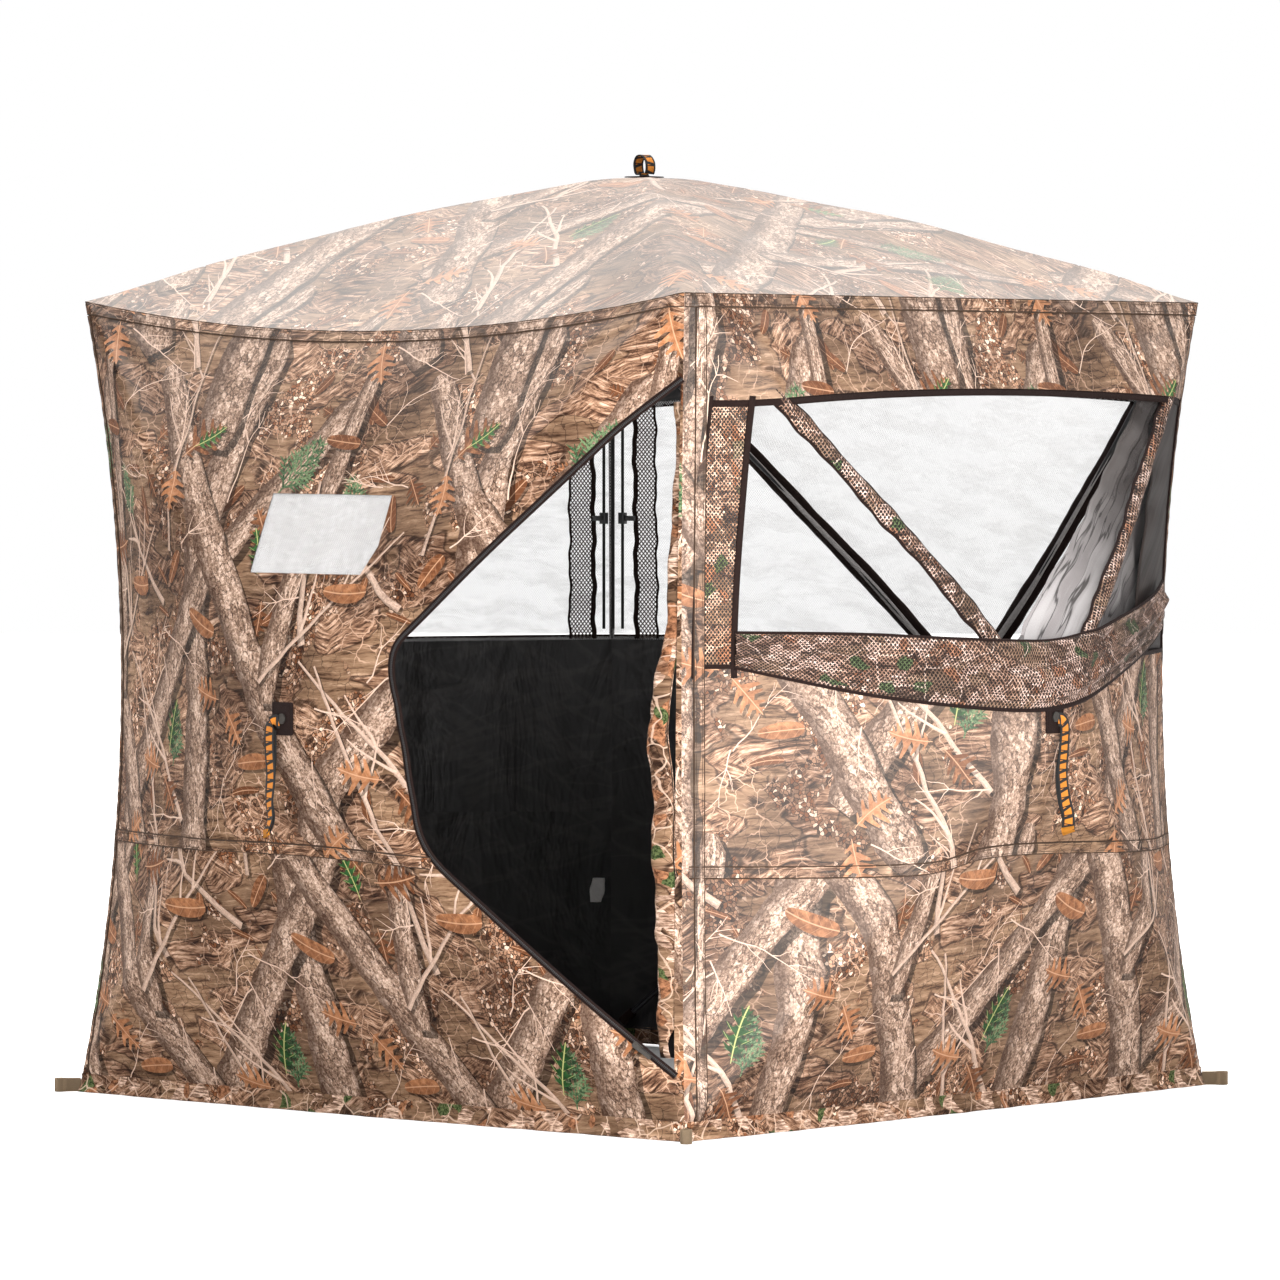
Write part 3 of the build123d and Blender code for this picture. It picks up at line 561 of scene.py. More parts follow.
class Panel:
    """A fabric face. Its own frame has u across, v up the face and w out of it. Points on it are given flat,
    before its edges are drawn in: place() puts them on the taut face, and flat() goes back from a place to
    the flat point."""

    RIDGE_ROUND = 0.014

    def __init__(self, name, across, up, out, corners, mids, hub, seed):
        self.name = name
        self.axes = np.array([across, up, out], float)
        self.corners = np.array(corners, float)
        self.mids = np.array(mids, float)
        self.hub = np.array(hub, float)
        self.body = f"{name}_hub_body"
        random = np.random.default_rng(seed)
        self.waves = []
        for _ in range(7):
            across = random.uniform(6, 16) * random.choice([-1, 1])
            self.waves.append((across, *(random.uniform(*span) for span in ((5, 14), (0, 6), (0.6, 1.3)))))
        self.phase = random.uniform(0, 6, 8)
        self.seams = []

    def fan(self, q):
        """For each flat point: how far from hub to edge it is (0 to 1), where along that edge, and which edge."""
        rel = q - self.hub[:2]
        best = np.full(len(q), -1e9)
        reach, along, edge = np.zeros(len(q)), np.full(len(q), 0.5), np.zeros(len(q), int)
        for i in range(4):
            pair = self.corners[[i, (i + 1) % 4], :2] - self.hub[:2]
            parts = rel @ np.linalg.inv(pair)
            low, total = parts.min(1), parts.sum(1)
            take = low > best
            best = np.where(take, low, best)
            reach = np.where(take, total, reach)
            along = np.where(take, parts[:, 1] / np.maximum(total, 1e-9), along)
            edge = np.where(take, i, edge)
        return reach, np.clip(along, 0, 1), edge

    def ripple(self, q, reach):
        """Soft unevenness, puckers round the hub, drag lines to the corners and gathers at the seams."""
        u, v = q.T
        rel = q - self.hub[:2]
        far = np.hypot(*rel.T)
        angle = np.arctan2(rel[:, 1], rel[:, 0])
        rise = sum(a * np.sin(x * u + y * v + p) for x, y, p, a in self.waves) * 0.0009
        rise += 0.0016 * np.exp(-(((far - 0.10) / 0.07) ** 2)) * np.sin(13 * angle + self.phase[0])
        fan = np.sin(21 * angle + 14 * far + self.phase[1])
        rise += 0.0012 * np.exp(-(((far - 0.24) / 0.13) ** 2)) * fan
        for i, corner in enumerate(self.corners):
            gap = q - corner[:2]
            off = np.hypot(*gap.T)
            turn = np.arctan2(gap[:, 1], gap[:, 0])
            rise += 0.0022 * np.exp(-((off / 0.26) ** 2)) * np.sin(19 * turn + 9 * off + self.phase[2 + i])
        for path in self.seams:
            height = np.interp(u, path[:, 0], path[:, 1])
            near = np.exp(-(((v - height) / 0.035) ** 2))
            pucker = np.sin(u * 118 + 2.2 * np.sin(u * 31 + self.phase[6]))
            rise += near * 0.0012 * pucker * (0.6 + 0.4 * np.sin(u * 13))
            rise -= 0.0016 * np.exp(-(((v - height) / 0.012) ** 2))
        return rise * np.clip((1 - reach) * 9, 0, 1) * np.clip((far - 0.045) / 0.05, 0, 1)

    def ray(self, along, edge):
        """About how far it is from the hub to those places on the edges."""
        first, second = (np.hypot(*(self.corners[k] - self.hub)[:, :2].T) for k in (edge, (edge + 1) % 4))
        return first * (1 - along) + second * along

    def bare(self, q):
        """The taut face with its edges drawn in and its unevenness, creased sharply at the poles."""
        reach, along, edge = self.fan(q)
        a, b = self.corners[edge], self.corners[(edge + 1) % 4]
        plate = PLATE / self.ray(along, edge)
        s = (reach - plate) / (1 - plate)
        h = (s + np.sqrt(s * s + 0.0004)) / (1 + math.sqrt(1.0004))
        bell = 4 * along * (1 - along)
        drawn = (self.mids[edge] - (a + b) / 2) * (np.clip(s, 0, None) ** 2 * bell)[:, None]
        rim = a[:, 2] * (1 - along) + b[:, 2] * along
        w = self.hub[2] + (rim - self.hub[2]) * h + BOW * 4 * h * (1 - h) - 0.005 * bell * 4 * h * (1 - h)
        return np.column_stack([q + drawn[:, :2], w + drawn[:, 2] + self.ripple(q, reach)])

    def local(self, q):
        """The same with its creases rounded, in the panel's frame."""
        q = np.atleast_2d(np.asarray(q, float))
        spread = np.clip((1 - self.fan(q)[0]) * 0.3, 0, self.RIDGE_ROUND)[:, None]
        total = self.bare(q) * 2
        for dx, dy in ((1, 0.2), (-1, -0.2), (-0.2, 1), (0.2, -1)):
            total += self.bare(q + spread * (dx, dy))
        return total / 6

    def both(self, q, tiny=0.002):
        """Places in the panel's frame, and the directions out of the face there."""
        q = np.atleast_2d(np.asarray(q, float))
        here = self.local(q)
        out = np.cross(self.local(q + (tiny, 0)) - here, self.local(q + (0, tiny)) - here)
        return here, out / np.linalg.norm(out, axis=1)[:, None]

    def place(self, q, lift=0.0):
        """World points over the flat points q, `lift` out of the face."""
        if not np.any(lift):
            return self.local(q) @ self.axes
        local, out = self.both(q)
        return (local + out * np.reshape(lift, (-1, 1))) @ self.axes

    def world(self, local):
        return np.atleast_2d(np.asarray(local, float)) @ self.axes

    def flat(self, places):
        """The flat points that lie at these (u, v) on the taut face."""
        places = np.atleast_2d(np.asarray(places, float))
        q = places.copy()
        for _ in range(6):
            q = q + places - self.local(q)[:, :2]
        return q

    def weight(self, q):
        """How much of the hub's push each flat point takes: as much as the pole beside it."""
        reach, along, edge = self.fan(np.atleast_2d(np.asarray(q, float)))
        length = self.ray(along, edge)
        inner, outer = POLE_START / length, 1 - POLE_END / length
        return 1 - np.clip((reach - inner) / (outer - inner), 0, 1)

    def grid(self, q, lift=0.0):
        """World points over a grid of flat points, and how much of the hub's push each takes."""
        flat = q.reshape(-1, 2)
        return self.place(flat, lift).reshape(*q.shape[:2], 3), self.weight(flat).reshape(q.shape[:2])

    def hang(self, places, lift):
        """The same over a grid of (u, v) places on the taut face."""
        return self.grid(self.flat(places.reshape(-1, 2)).reshape(places.shape), lift)


def wall(name, across, out, seed, sag=0.0):
    waist = (HALF_TOP + HALF_LOW) / 2 - WAIST
    middle = (HEM + EAVE) / 2
    corners = [
        (*LOW_LEFT, HALF_LOW), (*LOW_RIGHT, HALF_LOW), (*TOP_RIGHT, HALF_TOP), (*TOP_LEFT, HALF_TOP),
    ]
    mids = [
        (0, HEM, HALF_LOW + HEM_BULGE), (waist, middle, waist), (0, EAVE - sag, HALF_TOP),
        (-waist, middle, waist),
    ]
    return Panel(name, across, (0, 0, 1), out, corners, mids, (0, HUB_Z, HUB_W), seed)


FRONT = wall("front", (1, 0, 0), (0, -1, 0), 11, SAG)
RIGHT = wall("right", (0, 1, 0), (1, 0, 0), 12)
BACK = wall("back", (-1, 0, 0), (0, 1, 0), 13)
LEFT = wall("left", (0, -1, 0), (-1, 0, 0), 14)
ROOF_CORNERS = [(x * HALF_TOP, y * HALF_TOP, EAVE) for x, y in ((-1, -1), (1, -1), (1, 1), (-1, 1))]
ROOF_MIDS = [(0, -HALF_TOP, EAVE - SAG), (HALF_TOP, 0, EAVE), (0, HALF_TOP, EAVE), (-HALF_TOP, 0, EAVE)]
ROOF = Panel("roof", (1, 0, 0), (0, 1, 0), (0, 0, 1), ROOF_CORNERS, ROOF_MIDS, (0, 0, PEAK), 15)
WALLS = [FRONT, RIGHT, BACK, LEFT]

# ------------------------------------------------------------ mesh building


def smooth_path(points, steps=8, closed=False):
    """A Catmull-Rom curve through the points."""
    p = np.asarray(points, float)
    n = len(p)
    rows = []
    for i in range(n if closed else n - 1):
        a, b, c, d = (
            (p[(i - 1) % n], p[i], p[(i + 1) % n], p[(i + 2) % n])
            if closed
            else (p[max(i - 1, 0)], p[i], p[i + 1], p[min(i + 2, n - 1)])
        )
        for t in np.arange(steps) / steps:
            square, cube = 2 * a - 5 * b + 4 * c - d, 3 * b - a - 3 * c + d
            rows.append(0.5 * (2 * b + (c - a) * t + square * t**2 + cube * t**3))
    if not closed:
        rows.append(p[-1])
    return np.array(rows)


def run_of(path):
    """How far along a line each of its points is."""
    return np.concatenate([[0], np.cumsum(np.linalg.norm(np.diff(path, axis=0), axis=1))])


def even(path, step):
    """The same line with points `step` apart."""
    path = np.asarray(path, float)
    lengths = run_of(path)
    count = max(int(round(lengths[-1] / step)), 1)
    at = np.linspace(0, lengths[-1], count + 1)
    return np.column_stack([np.interp(at, lengths, column) for column in path.T])


def rounded(points, radii, step=0.006):
    """A line of straight runs with arcs of these radii at its inner points."""
    rows = [np.array(points[0], float)]
    for before, here, after, radius in zip(points, points[1:], points[2:], radii):
        here = np.array(here, float)
        a, b = np.array(before) - here, np.array(after) - here
        a, b = a / np.linalg.norm(a), b / np.linalg.norm(b)
        half = math.acos(np.clip(a @ b, -1, 1)) / 2
        start, end = here + a * radius / math.tan(half), here + b * radius / math.tan(half)
        centre = here + (a + b) / np.linalg.norm(a + b) * radius / math.sin(half)
        t0, t1 = start - centre, end - centre
        sweep = math.acos(np.clip(t0 @ t1 / radius**2, -1, 1))
        for t in np.linspace(0, 1, max(int(radius * sweep / step), 3)):
            spoke = math.sin((1 - t) * sweep) * t0 + math.sin(t * sweep) * t1
            rows.append(centre + spoke / math.sin(sweep))
    rows.append(np.array(points[-1], float))
    return even(rows, step)


def new_mesh(name, points, faces, slots, uv, materials):
    """A smooth mesh with a material slot for each face and a cloth UV for each point."""
    mesh = bpy.data.meshes.new(name)
    mesh.from_pydata(points.tolist(), [], faces)
    mesh.polygons.foreach_set("material_index", np.asarray(slots, np.int32))
    mesh.polygons.foreach_set("use_smooth", np.ones(len(faces), bool))
    corner = np.zeros(len(mesh.loops), np.int32)
    mesh.loops.foreach_get("vertex_index", corner)
    mesh.uv_layers.new(name="cloth").data.foreach_set("uv", uv[corner].astype(np.float32).ravel())
    for material in materials:
        mesh.materials.append(M[material])
    return mesh


def link(name, data):
    piece = bpy.data.objects.new(name, data)
    bpy.context.scene.collection.objects.link(piece)
    return piece


class Piece:
    """Collects surfaces, then makes them one object that rides on a body, or is made for a panel with its
    placement baked in.
    """

    def __init__(self):
        self.points, self.faces, self.slots, self.uvs, self.weights = [], [], [], [], []
        self.count = 0

    def add(self, points, faces, slot=0, uv=None, weight=None):
        points = np.asarray(points, float).reshape(-1, 3)
        self.points.append(points)
        self.faces += [tuple(i + self.count for i in face) for face in faces]
        self.slots += [slot] * len(faces) if np.isscalar(slot) else list(slot)
        self.uvs.append(np.zeros((len(points), 2)) if uv is None else np.asarray(uv, float).reshape(-1, 2))
        self.weights.append(
            np.zeros(len(points)) if weight is None else np.asarray(weight, float).reshape(-1)
        )
        self.count += len(points)

    def loft(self, rows, slot=0, uv=None, weight=None, ring=True, caps=True):
        """Joins rows of points, rings unless told otherwise."""
        rows = np.asarray(rows, float)
        m, n = rows.shape[:2]
        faces = []
        for i in range(m - 1):
            for j in range(n if ring else n - 1):
                k = (j + 1) % n
                faces.append((i * n + j, i * n + k, (i + 1) * n + k, (i + 1) * n + j))
        if ring and caps:
            faces += [tuple(range(n))[::-1], tuple((m - 1) * n + j for j in range(n))]
        self.add(rows, faces, slot, uv, weight)

    def sheet(self, rows, thickness, slot=0, back=None, uv=None, weight=None):
        """A thin closed sheet through a grid of points."""
        rows = np.asarray(rows, float)
        m, n = rows.shape[:2]
        along, across = np.gradient(rows, axis=0), np.gradient(rows, axis=1)
        normal = np.cross(across, along)
        normal /= np.maximum(np.linalg.norm(normal, axis=2), 1e-12)[..., None]
        top, bottom = rows + normal * thickness / 2, rows - normal * thickness / 2
        back = slot if back is None else back
        faces, slots = [], []
        size = m * n
        for i in range(m - 1):
            for j in range(n - 1):
                quad = (i * n + j, i * n + j + 1, (i + 1) * n + j + 1, (i + 1) * n + j)
                faces += [quad, tuple(size + k for k in quad[::-1])]
                slots += [slot, back]
        rim = [(i * n, (i + 1) * n) for i in range(m - 1)] + [
            ((i + 1) * n + n - 1, i * n + n - 1) for i in range(m - 1)
        ]
        rim += [(j + 1, j) for j in range(n - 1)] + [
            ((m - 1) * n + j, (m - 1) * n + j + 1) for j in range(n - 1)
        ]
        for a, b in rim:
            faces.append((a, b, size + b, size + a))
            slots.append(slot)
        uv = None if uv is None else np.concatenate([np.reshape(uv, (-1, 2))] * 2)
        weight = None if weight is None else np.concatenate([np.ravel(weight)] * 2)
        self.add(np.concatenate([top.reshape(-1, 3), bottom.reshape(-1, 3)]), faces, slots, uv, weight)

    def build(self, name, materials, slot, body="root", panel=None):
        """One object of everything collected. It rides on the body, or, if there is a panel, has its placement
        baked in.
        """
        points, uv = np.concatenate(self.points), np.concatenate(self.uvs)
        mesh = new_mesh(name, points, self.faces, self.slots, uv, materials)
        mesh.validate(clean_customdata=False)
        piece = link(name, mesh)
        if panel is None:
            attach(piece, body)
        else:
            follow(piece, panel)
        return piece


def follow(piece, panel):
    """Bakes the piece's placement into its mesh."""
    start, end = panel.world([(0, panel.hub[1], 0), panel.hub])
    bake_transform(piece)


def frame_of(path):
    """Unit directions along and to the left of a flat line."""
    along = np.gradient(path, axis=0)
    along /= np.maximum(np.linalg.norm(along, axis=1), 1e-12)[:, None]
    return along, np.column_stack([-along[:, 1], along[:, 0]])


def band(piece, panel, path, width, profile, slot=0, under=-0.0003, wave=None):
    """A strip along a flat line on a panel. Its profile is pairs of place across (-1 to 1) and lift."""
    path = np.asarray(path, float)
    _, left = frame_of(path)
    run = run_of(path)
    q, lift, uv = [], [], []
    for x, height in [*profile, *((x, under) for x, _ in reversed(profile))]:
        q.append(path + left * (width / 2 * x))
        rise = wave(run, x) if wave is not None and height > 0 else 0
        lift.append(np.full(len(path), float(height)) + rise)
        uv.append(np.column_stack([run, np.full(len(path), width / 2 * x)]))
    points, weight = panel.grid(np.stack(q, 1), np.stack(lift, 1))
    piece.loft(points[:, ::-1], slot, np.stack(uv, 1)[:, ::-1], weight[:, ::-1])


# ------------------------------------------------------------ printed pattern

TILE_W, TILE_H = 0.66, 0.98
KINDS = ["ground", "bark", "leaf", "green", "sprig"]


def inside(points, loop):
    """Which points are inside a closed outline."""
    x, y = points.T
    result = np.zeros(len(points), bool)
    for (x0, y0), (x1, y1) in zip(loop, np.roll(loop, -1, 0)):
        if y0 != y1:
            result ^= ((y0 > y) != (y1 > y)) & (x < (x1 - x0) * (y - y0) / (y1 - y0) + x0)
    return result


class Motif:
    """One printed shape: its outline, the layer it is printed in, and how places on it are measured."""

    def __init__(self, kind, outline, tone, shadow=None, shade=0.5, leaf=None, line=None, half=None):
        self.kind, self.outline, self.tone = kind, np.asarray(outline, float), tone
        self.shadow, self.shade = shadow, shade
        self.leaf, self.line, self.half = leaf, line, half

    def places(self, corners):
        """(along, across) at the corners of its triangles."""
        if self.leaf is not None:
            origin, heading, length, bend = self.leaf
            c, s = math.cos(heading), math.sin(heading)
            rel = corners - origin
            x = (rel[..., 0] * c + rel[..., 1] * s) / length
            y = (-rel[..., 0] * s + rel[..., 1] * c) / length
            return np.stack([x, y - bend * x * (1 - x)], -1)
        middle = corners.mean(1)
        start, step = self.line[:-1], np.diff(self.line, axis=0)
        size = np.linalg.norm(step, axis=1)
        unit = step / size[:, None]
        rel = middle[:, None] - start[None]
        t = np.clip((rel * unit[None]).sum(2), 0, size[None])
        which = np.linalg.norm(rel - t[..., None] * unit[None], axis=2).argmin(1)
        run = np.concatenate([[0], np.cumsum(size)])[which]
        rel = corners - start[which][:, None]
        u = unit[which][:, None]
        x = (rel * u).sum(2)
        y = rel[..., 1] * u[..., 0] - rel[..., 0] * u[..., 1]
        first, second = self.half[which][:, None], self.half[which + 1][:, None]
        half = first + (second - first) * np.clip(x / size[which][:, None], 0, 1)
        return np.stack([x + run[:, None], y / np.maximum(half, 1e-4)], -1)

    def moved(self, shift):
        leaf = self.leaf and (self.leaf[0] + shift, *self.leaf[1:])
        line = None if self.line is None else self.line + shift
        return Motif(self.kind, self.outline + shift, self.tone, self.shadow, self.shade, leaf, line, self.half)


def leaf_motif(random, kind, at, heading, length, shape, tone):
    """A lobed oak leaf or a plain pointed one."""
    bend = random.uniform(-0.25, 0.25)
    if shape == "oak":
        halves = []
        for side in (1, -1):
            rows = [(0.0, side * 0.007), (0.10, side * 0.012)]
            for root, reach, size in (
                (0.10, 0.10, 0.17), (0.26, 0.20, 0.33), (0.45, 0.20, 0.36), (0.66, 0.15, 0.25),
                (0.82, 0.10, 0.12)
            ):
                size = size * random.uniform(0.85, 1.15)
                reach = reach * random.uniform(0.8, 1.2)
                rows += [
                    (root, side * 0.045),
                    (root + reach * 0.45, side * size * 0.62),
                    (root + reach * 0.85, side * size * 0.98),
                    (root + reach * 1.10, side * size),
                    (root + reach * 1.02, side * size * 0.78),
                    (root + reach * 0.80, side * size * 0.40),
                ]
            halves.append([(min(x, 0.985), y) for x, y in rows])
        rows = np.array(halves[0] + [(1.0, 0.0)] + halves[1][::-1])
    elif shape == "spear":
        halves = []
        for side in (1, -1):
            rows = [(0.0, side * 0.006), (0.16, side * 0.012)]
            for root, size in ((0.16, 0.20), (0.32, 0.27), (0.48, 0.25), (0.64, 0.19), (0.80, 0.11)):
                rows += [
                    (root, side * 0.035), (root + 0.07, side * size * 0.7), (root + 0.155, side * size),
                    (root + 0.10, side * size * 0.42)
                ]
            halves.append(rows)
        rows = np.array(halves[0] + [(1.0, 0.0)] + halves[1][::-1])
    else:
        t = np.linspace(0, math.pi, 12)
        width = 0.12 if shape == "long" else 0.19
        x = (1 - np.cos(t)) / 2
        y = width * np.sin(t) ** 0.8 * (1 - 0.25 * x) + 0.004
        rows = np.concatenate([np.column_stack([x, y]), np.column_stack([x, -y])[::-1][1:-1]])
    rows = rows.copy()
    rows[:, 1] += bend * rows[:, 0] * (1 - rows[:, 0])
    c, s = math.cos(heading), math.sin(heading)
    outline = np.asarray(at) + length * rows @ np.array([[c, s], [-s, c]])
    reach = 0.055 * length
    grain = (np.asarray(at, float), heading, length, bend)
    return Motif(kind, outline, tone, (reach, -reach * 1.2), 0.42, leaf=grain)


def strip_motif(kind, line, half, tone, shadow=None, shade=0.5):
    _, left = frame_of(line)
    outline = np.concatenate([line + left * half[:, None], (line - left * half[:, None])[::-1]])
    return Motif(kind, outline, tone, shadow, shade, line=line, half=half)


def wander(random, start, heading, length, step, bend, pull=0.0):
    """A line that wanders about its heading, and the heading at each of its points."""
    points, angles = [np.array(start, float)], [heading]
    drift = 0.0
    for _ in range(max(int(length / step), 3)):
        drift = drift * 0.75 + random.normal(0, bend)
        angle = heading + drift + pull * len(points) * step / length
        points.append(points[-1] + step * np.array([math.cos(angle), math.sin(angle)]))
        angles.append(angle)
    return np.array(points), angles


def draw_tile():
    """The motifs of one repeat of the print, from the lowest layer to the top one."""
    random = np.random.default_rng(41)
    motifs = []

    def anywhere():
        return random.uniform(0, TILE_W), random.uniform(0, TILE_H)

    def limb(start, heading, length, half, tone, bend, forks, shadow=None, step=0.028):
        line, angles = wander(random, start, heading, length, step, bend)
        motifs.append(strip_motif("bark", line, half * np.linspace(1, 0.35, len(line)), tone, shadow, 0.45))
        for _ in range(forks):
            at = random.integers(1, len(line) - 1)
            turn = angles[at] + random.choice([-1, 1]) * random.uniform(0.35, 0.85)
            size = length * random.uniform(0.22, 0.42)
            fork, _ = wander(random, line[at], turn, size, step * 0.8, bend * 1.3)
            taper = half * 0.55 * np.linspace(1, 0.35, len(fork))
            motifs.append(strip_motif("bark", fork, taper, min(tone + 0.2, 1.0)))

    for _ in range(26):
        shape = random.choice(["plain", "long", "oak"], p=[0.35, 0.25, 0.4])
        length = random.uniform(0.035, 0.075)
        motifs.append(
            leaf_motif(
                random, "leaf", anywhere(), random.uniform(0, math.tau), length, shape,
                random.uniform(-0.9, 0.0)
            )
        )
    trunks = [
        ((0.24, -0.12), 84, 1.25, 0.046),
        ((-0.10, 0.16), 51, 1.05, 0.036),
        ((0.70, 0.06), 121, 1.15, 0.040),
        ((0.50, 0.40), 82, 0.66, 0.024),
    ]
    for start, heading, length, half in trunks:
        line, _ = wander(random, start, math.radians(heading), length, 0.030, 0.05)
        taper = half * np.linspace(1.1, 0.72, len(line)) * random.uniform(0.90, 1.10, len(line))
        taper[-1] *= 0.3
        taper[0] *= 0.6
        motifs.append(strip_motif("bark", line, taper, 0.0, (0.013, -0.013), 0.30))
    for _ in range(6):
        heading = math.radians(random.choice([48, 60, 75, 105, 118, 130, 145]) + random.uniform(-10, 10))
        limb(
            anywhere(), heading, random.uniform(0.3, 0.6), random.uniform(0.0040, 0.0080),
            random.uniform(0.3, 0.7), 0.085, 2, (0.005, -0.006)
        )
    for _ in range(3):
        centre, heading = anywhere(), random.uniform(0.6, 2.5)
        motifs += sprig(random, centre, heading, random.uniform(0.11, 0.145))
    for _ in range(22):
        limb(
            anywhere(), random.uniform(0, math.tau), random.uniform(0.09, 0.20),
            random.uniform(0.0011, 0.0017), 0.95, 0.16, 4, step=0.017
        )
    for cx, cy in ((0.10, 0.27), (0.46, 0.66), (0.58, 0.12), (0.17, 0.83), (0.36, 0.40)):
        turn = random.uniform(0, math.tau)
        for i in range(2):
            heading = turn + i * random.uniform(1.6, 2.6)
            at = (cx + 0.012 * math.cos(heading), cy + 0.012 * math.sin(heading))
            motifs.append(
                leaf_motif(
                    random, "leaf", at, heading, random.uniform(0.085, 0.115), "oak",
                    random.uniform(-0.25, 0.6)
                )
            )
    for at in ((0.33, 0.52), (0.60, 0.88), (0.04, 0.60), (0.50, 0.30)):
        heading = random.choice([0, math.pi]) + random.uniform(-0.5, 0.5)
        motifs.append(
            leaf_motif(
                random, "leaf", at, heading, random.uniform(0.075, 0.105), "plain",
                random.uniform(-0.3, 0.3)
            )
        )
    for at, heading, length in (
        ((0.13, 0.30), 1.2, 0.105), ((0.43, 0.63), 1.9, 0.090), ((0.20, 0.86), 0.6, 0.080)
    ):
        motifs.append(leaf_motif(random, "green", at, heading, length, "spear", random.uniform(0.0, 0.4)))
    return motifs


def sprig(random, at, heading, length):
    """A flat cedar spray: a stem with side shoots that fork again."""
    found = []

    def shoot(start, angle, size, half, tone):
        end = start + size * np.array([math.cos(angle), math.sin(angle)])
        line = np.array([start, (start + end) / 2 + random.normal(0, size * 0.03, 2), end])
        found.append(strip_motif("sprig", line, half * np.array([1.0, 1.15, 0.35]), tone))

    start = np.array(at, float)
    unit = np.array([math.cos(heading), math.sin(heading)])
    shoot(start, heading, length, 0.0016, 0.6)
    for i in range(7):
        root = start + unit * length * (0.10 + 0.125 * i)
        reach = length * (0.46 - 0.05 * i)
        for side in (-1, 1):
            angle = heading + side * random.uniform(0.65, 0.85)
            shoot(root, angle, reach, 0.0021, random.uniform(0, 1))
            branch = np.array([math.cos(angle), math.sin(angle)])
            for j in range(max(int(reach / 0.013), 1)):
                bud = root + branch * reach * (0.22 + 0.75 * j / max(int(reach / 0.013), 1))
                for turn in (-1, 1):
                    shoot(bud, angle + turn * 0.7, reach * 0.26 + 0.004, 0.0018, random.uniform(0, 1))
    return found


TILE = draw_tile()
PITCH = 0.013  # between the points of a fabric mesh


def fill(outer, gaps, spacing, lines=()):
    """Triangles over an outline with gaps in it, with the given lines among their edges."""
    points, edges = [], []

    def keep(line, near=None):
        base, count = len(points), len(line)
        points.extend(Vector(p) for p in line)
        for i in range(count):
            if near is None or near[i] and near[(i + 1) % count]:
                edges.append((base + i, base + (i + 1) % count))

    def on_cloth(places):
        kept = inside(places, outer)
        for gap in gaps:
            kept &= ~inside(places, gap)
        return kept

    keep(outer)
    for gap in gaps:
        keep(gap)
    low, high = outer.min(0), outer.max(0)
    for line in lines:
        near = ((line > low - 0.045) & (line < high + 0.045)).all(1)
        if near.any():
            keep(line, near)
    xs = np.arange(low[0], high[0], spacing)
    ys = np.arange(low[1], high[1], spacing * 0.866)
    grid = np.array([(x + (spacing / 2 if j % 2 else 0), y) for j, y in enumerate(ys) for x in xs])
    points.extend(Vector(p) for p in grid[on_cloth(grid)])
    result = delaunay_2d_cdt(points, edges, [], 0, 2e-5, False)
    q = np.array([tuple(p) for p in result[0]])
    tris = np.array([f for f in result[2] if len(f) == 3])
    tris = tris[on_cloth(q[tris].mean(1))]
    a, b, c = q[tris[:, 0]], q[tris[:, 1]], q[tris[:, 2]]
    area = (b[:, 0] - a[:, 0]) * (c[:, 1] - a[:, 1]) - (b[:, 1] - a[:, 1]) * (c[:, 0] - a[:, 0])
    tris = np.where((area < 0)[:, None], tris[:, [0, 2, 1]], tris)[np.abs(area) > 1e-10]
    used, back = np.unique(tris, return_inverse=True)
    return q[used], back.reshape(-1, 3)


def printed(outer, move):
    """The motifs that fall on an outline, when the print is laid with its repeat moved by `move`."""
    low, high = outer.min(0), outer.max(0)
    found = []
    first = np.floor((low - move - 1.4) / (TILE_W, TILE_H)).astype(int)
    last = np.ceil((high - move + 0.3) / (TILE_W, TILE_H)).astype(int)
    for motif in TILE:
        for i in range(first[0], last[0] + 1):
            for j in range(first[1], last[1] + 1):
                shift = np.array(move) + (i * TILE_W, j * TILE_H)
                a, b = motif.outline.min(0) + shift, motif.outline.max(0) + shift
                if (b > low + 0.002).all() and (a < high - 0.002).all():
                    found.append(motif.moved(shift))
    return found


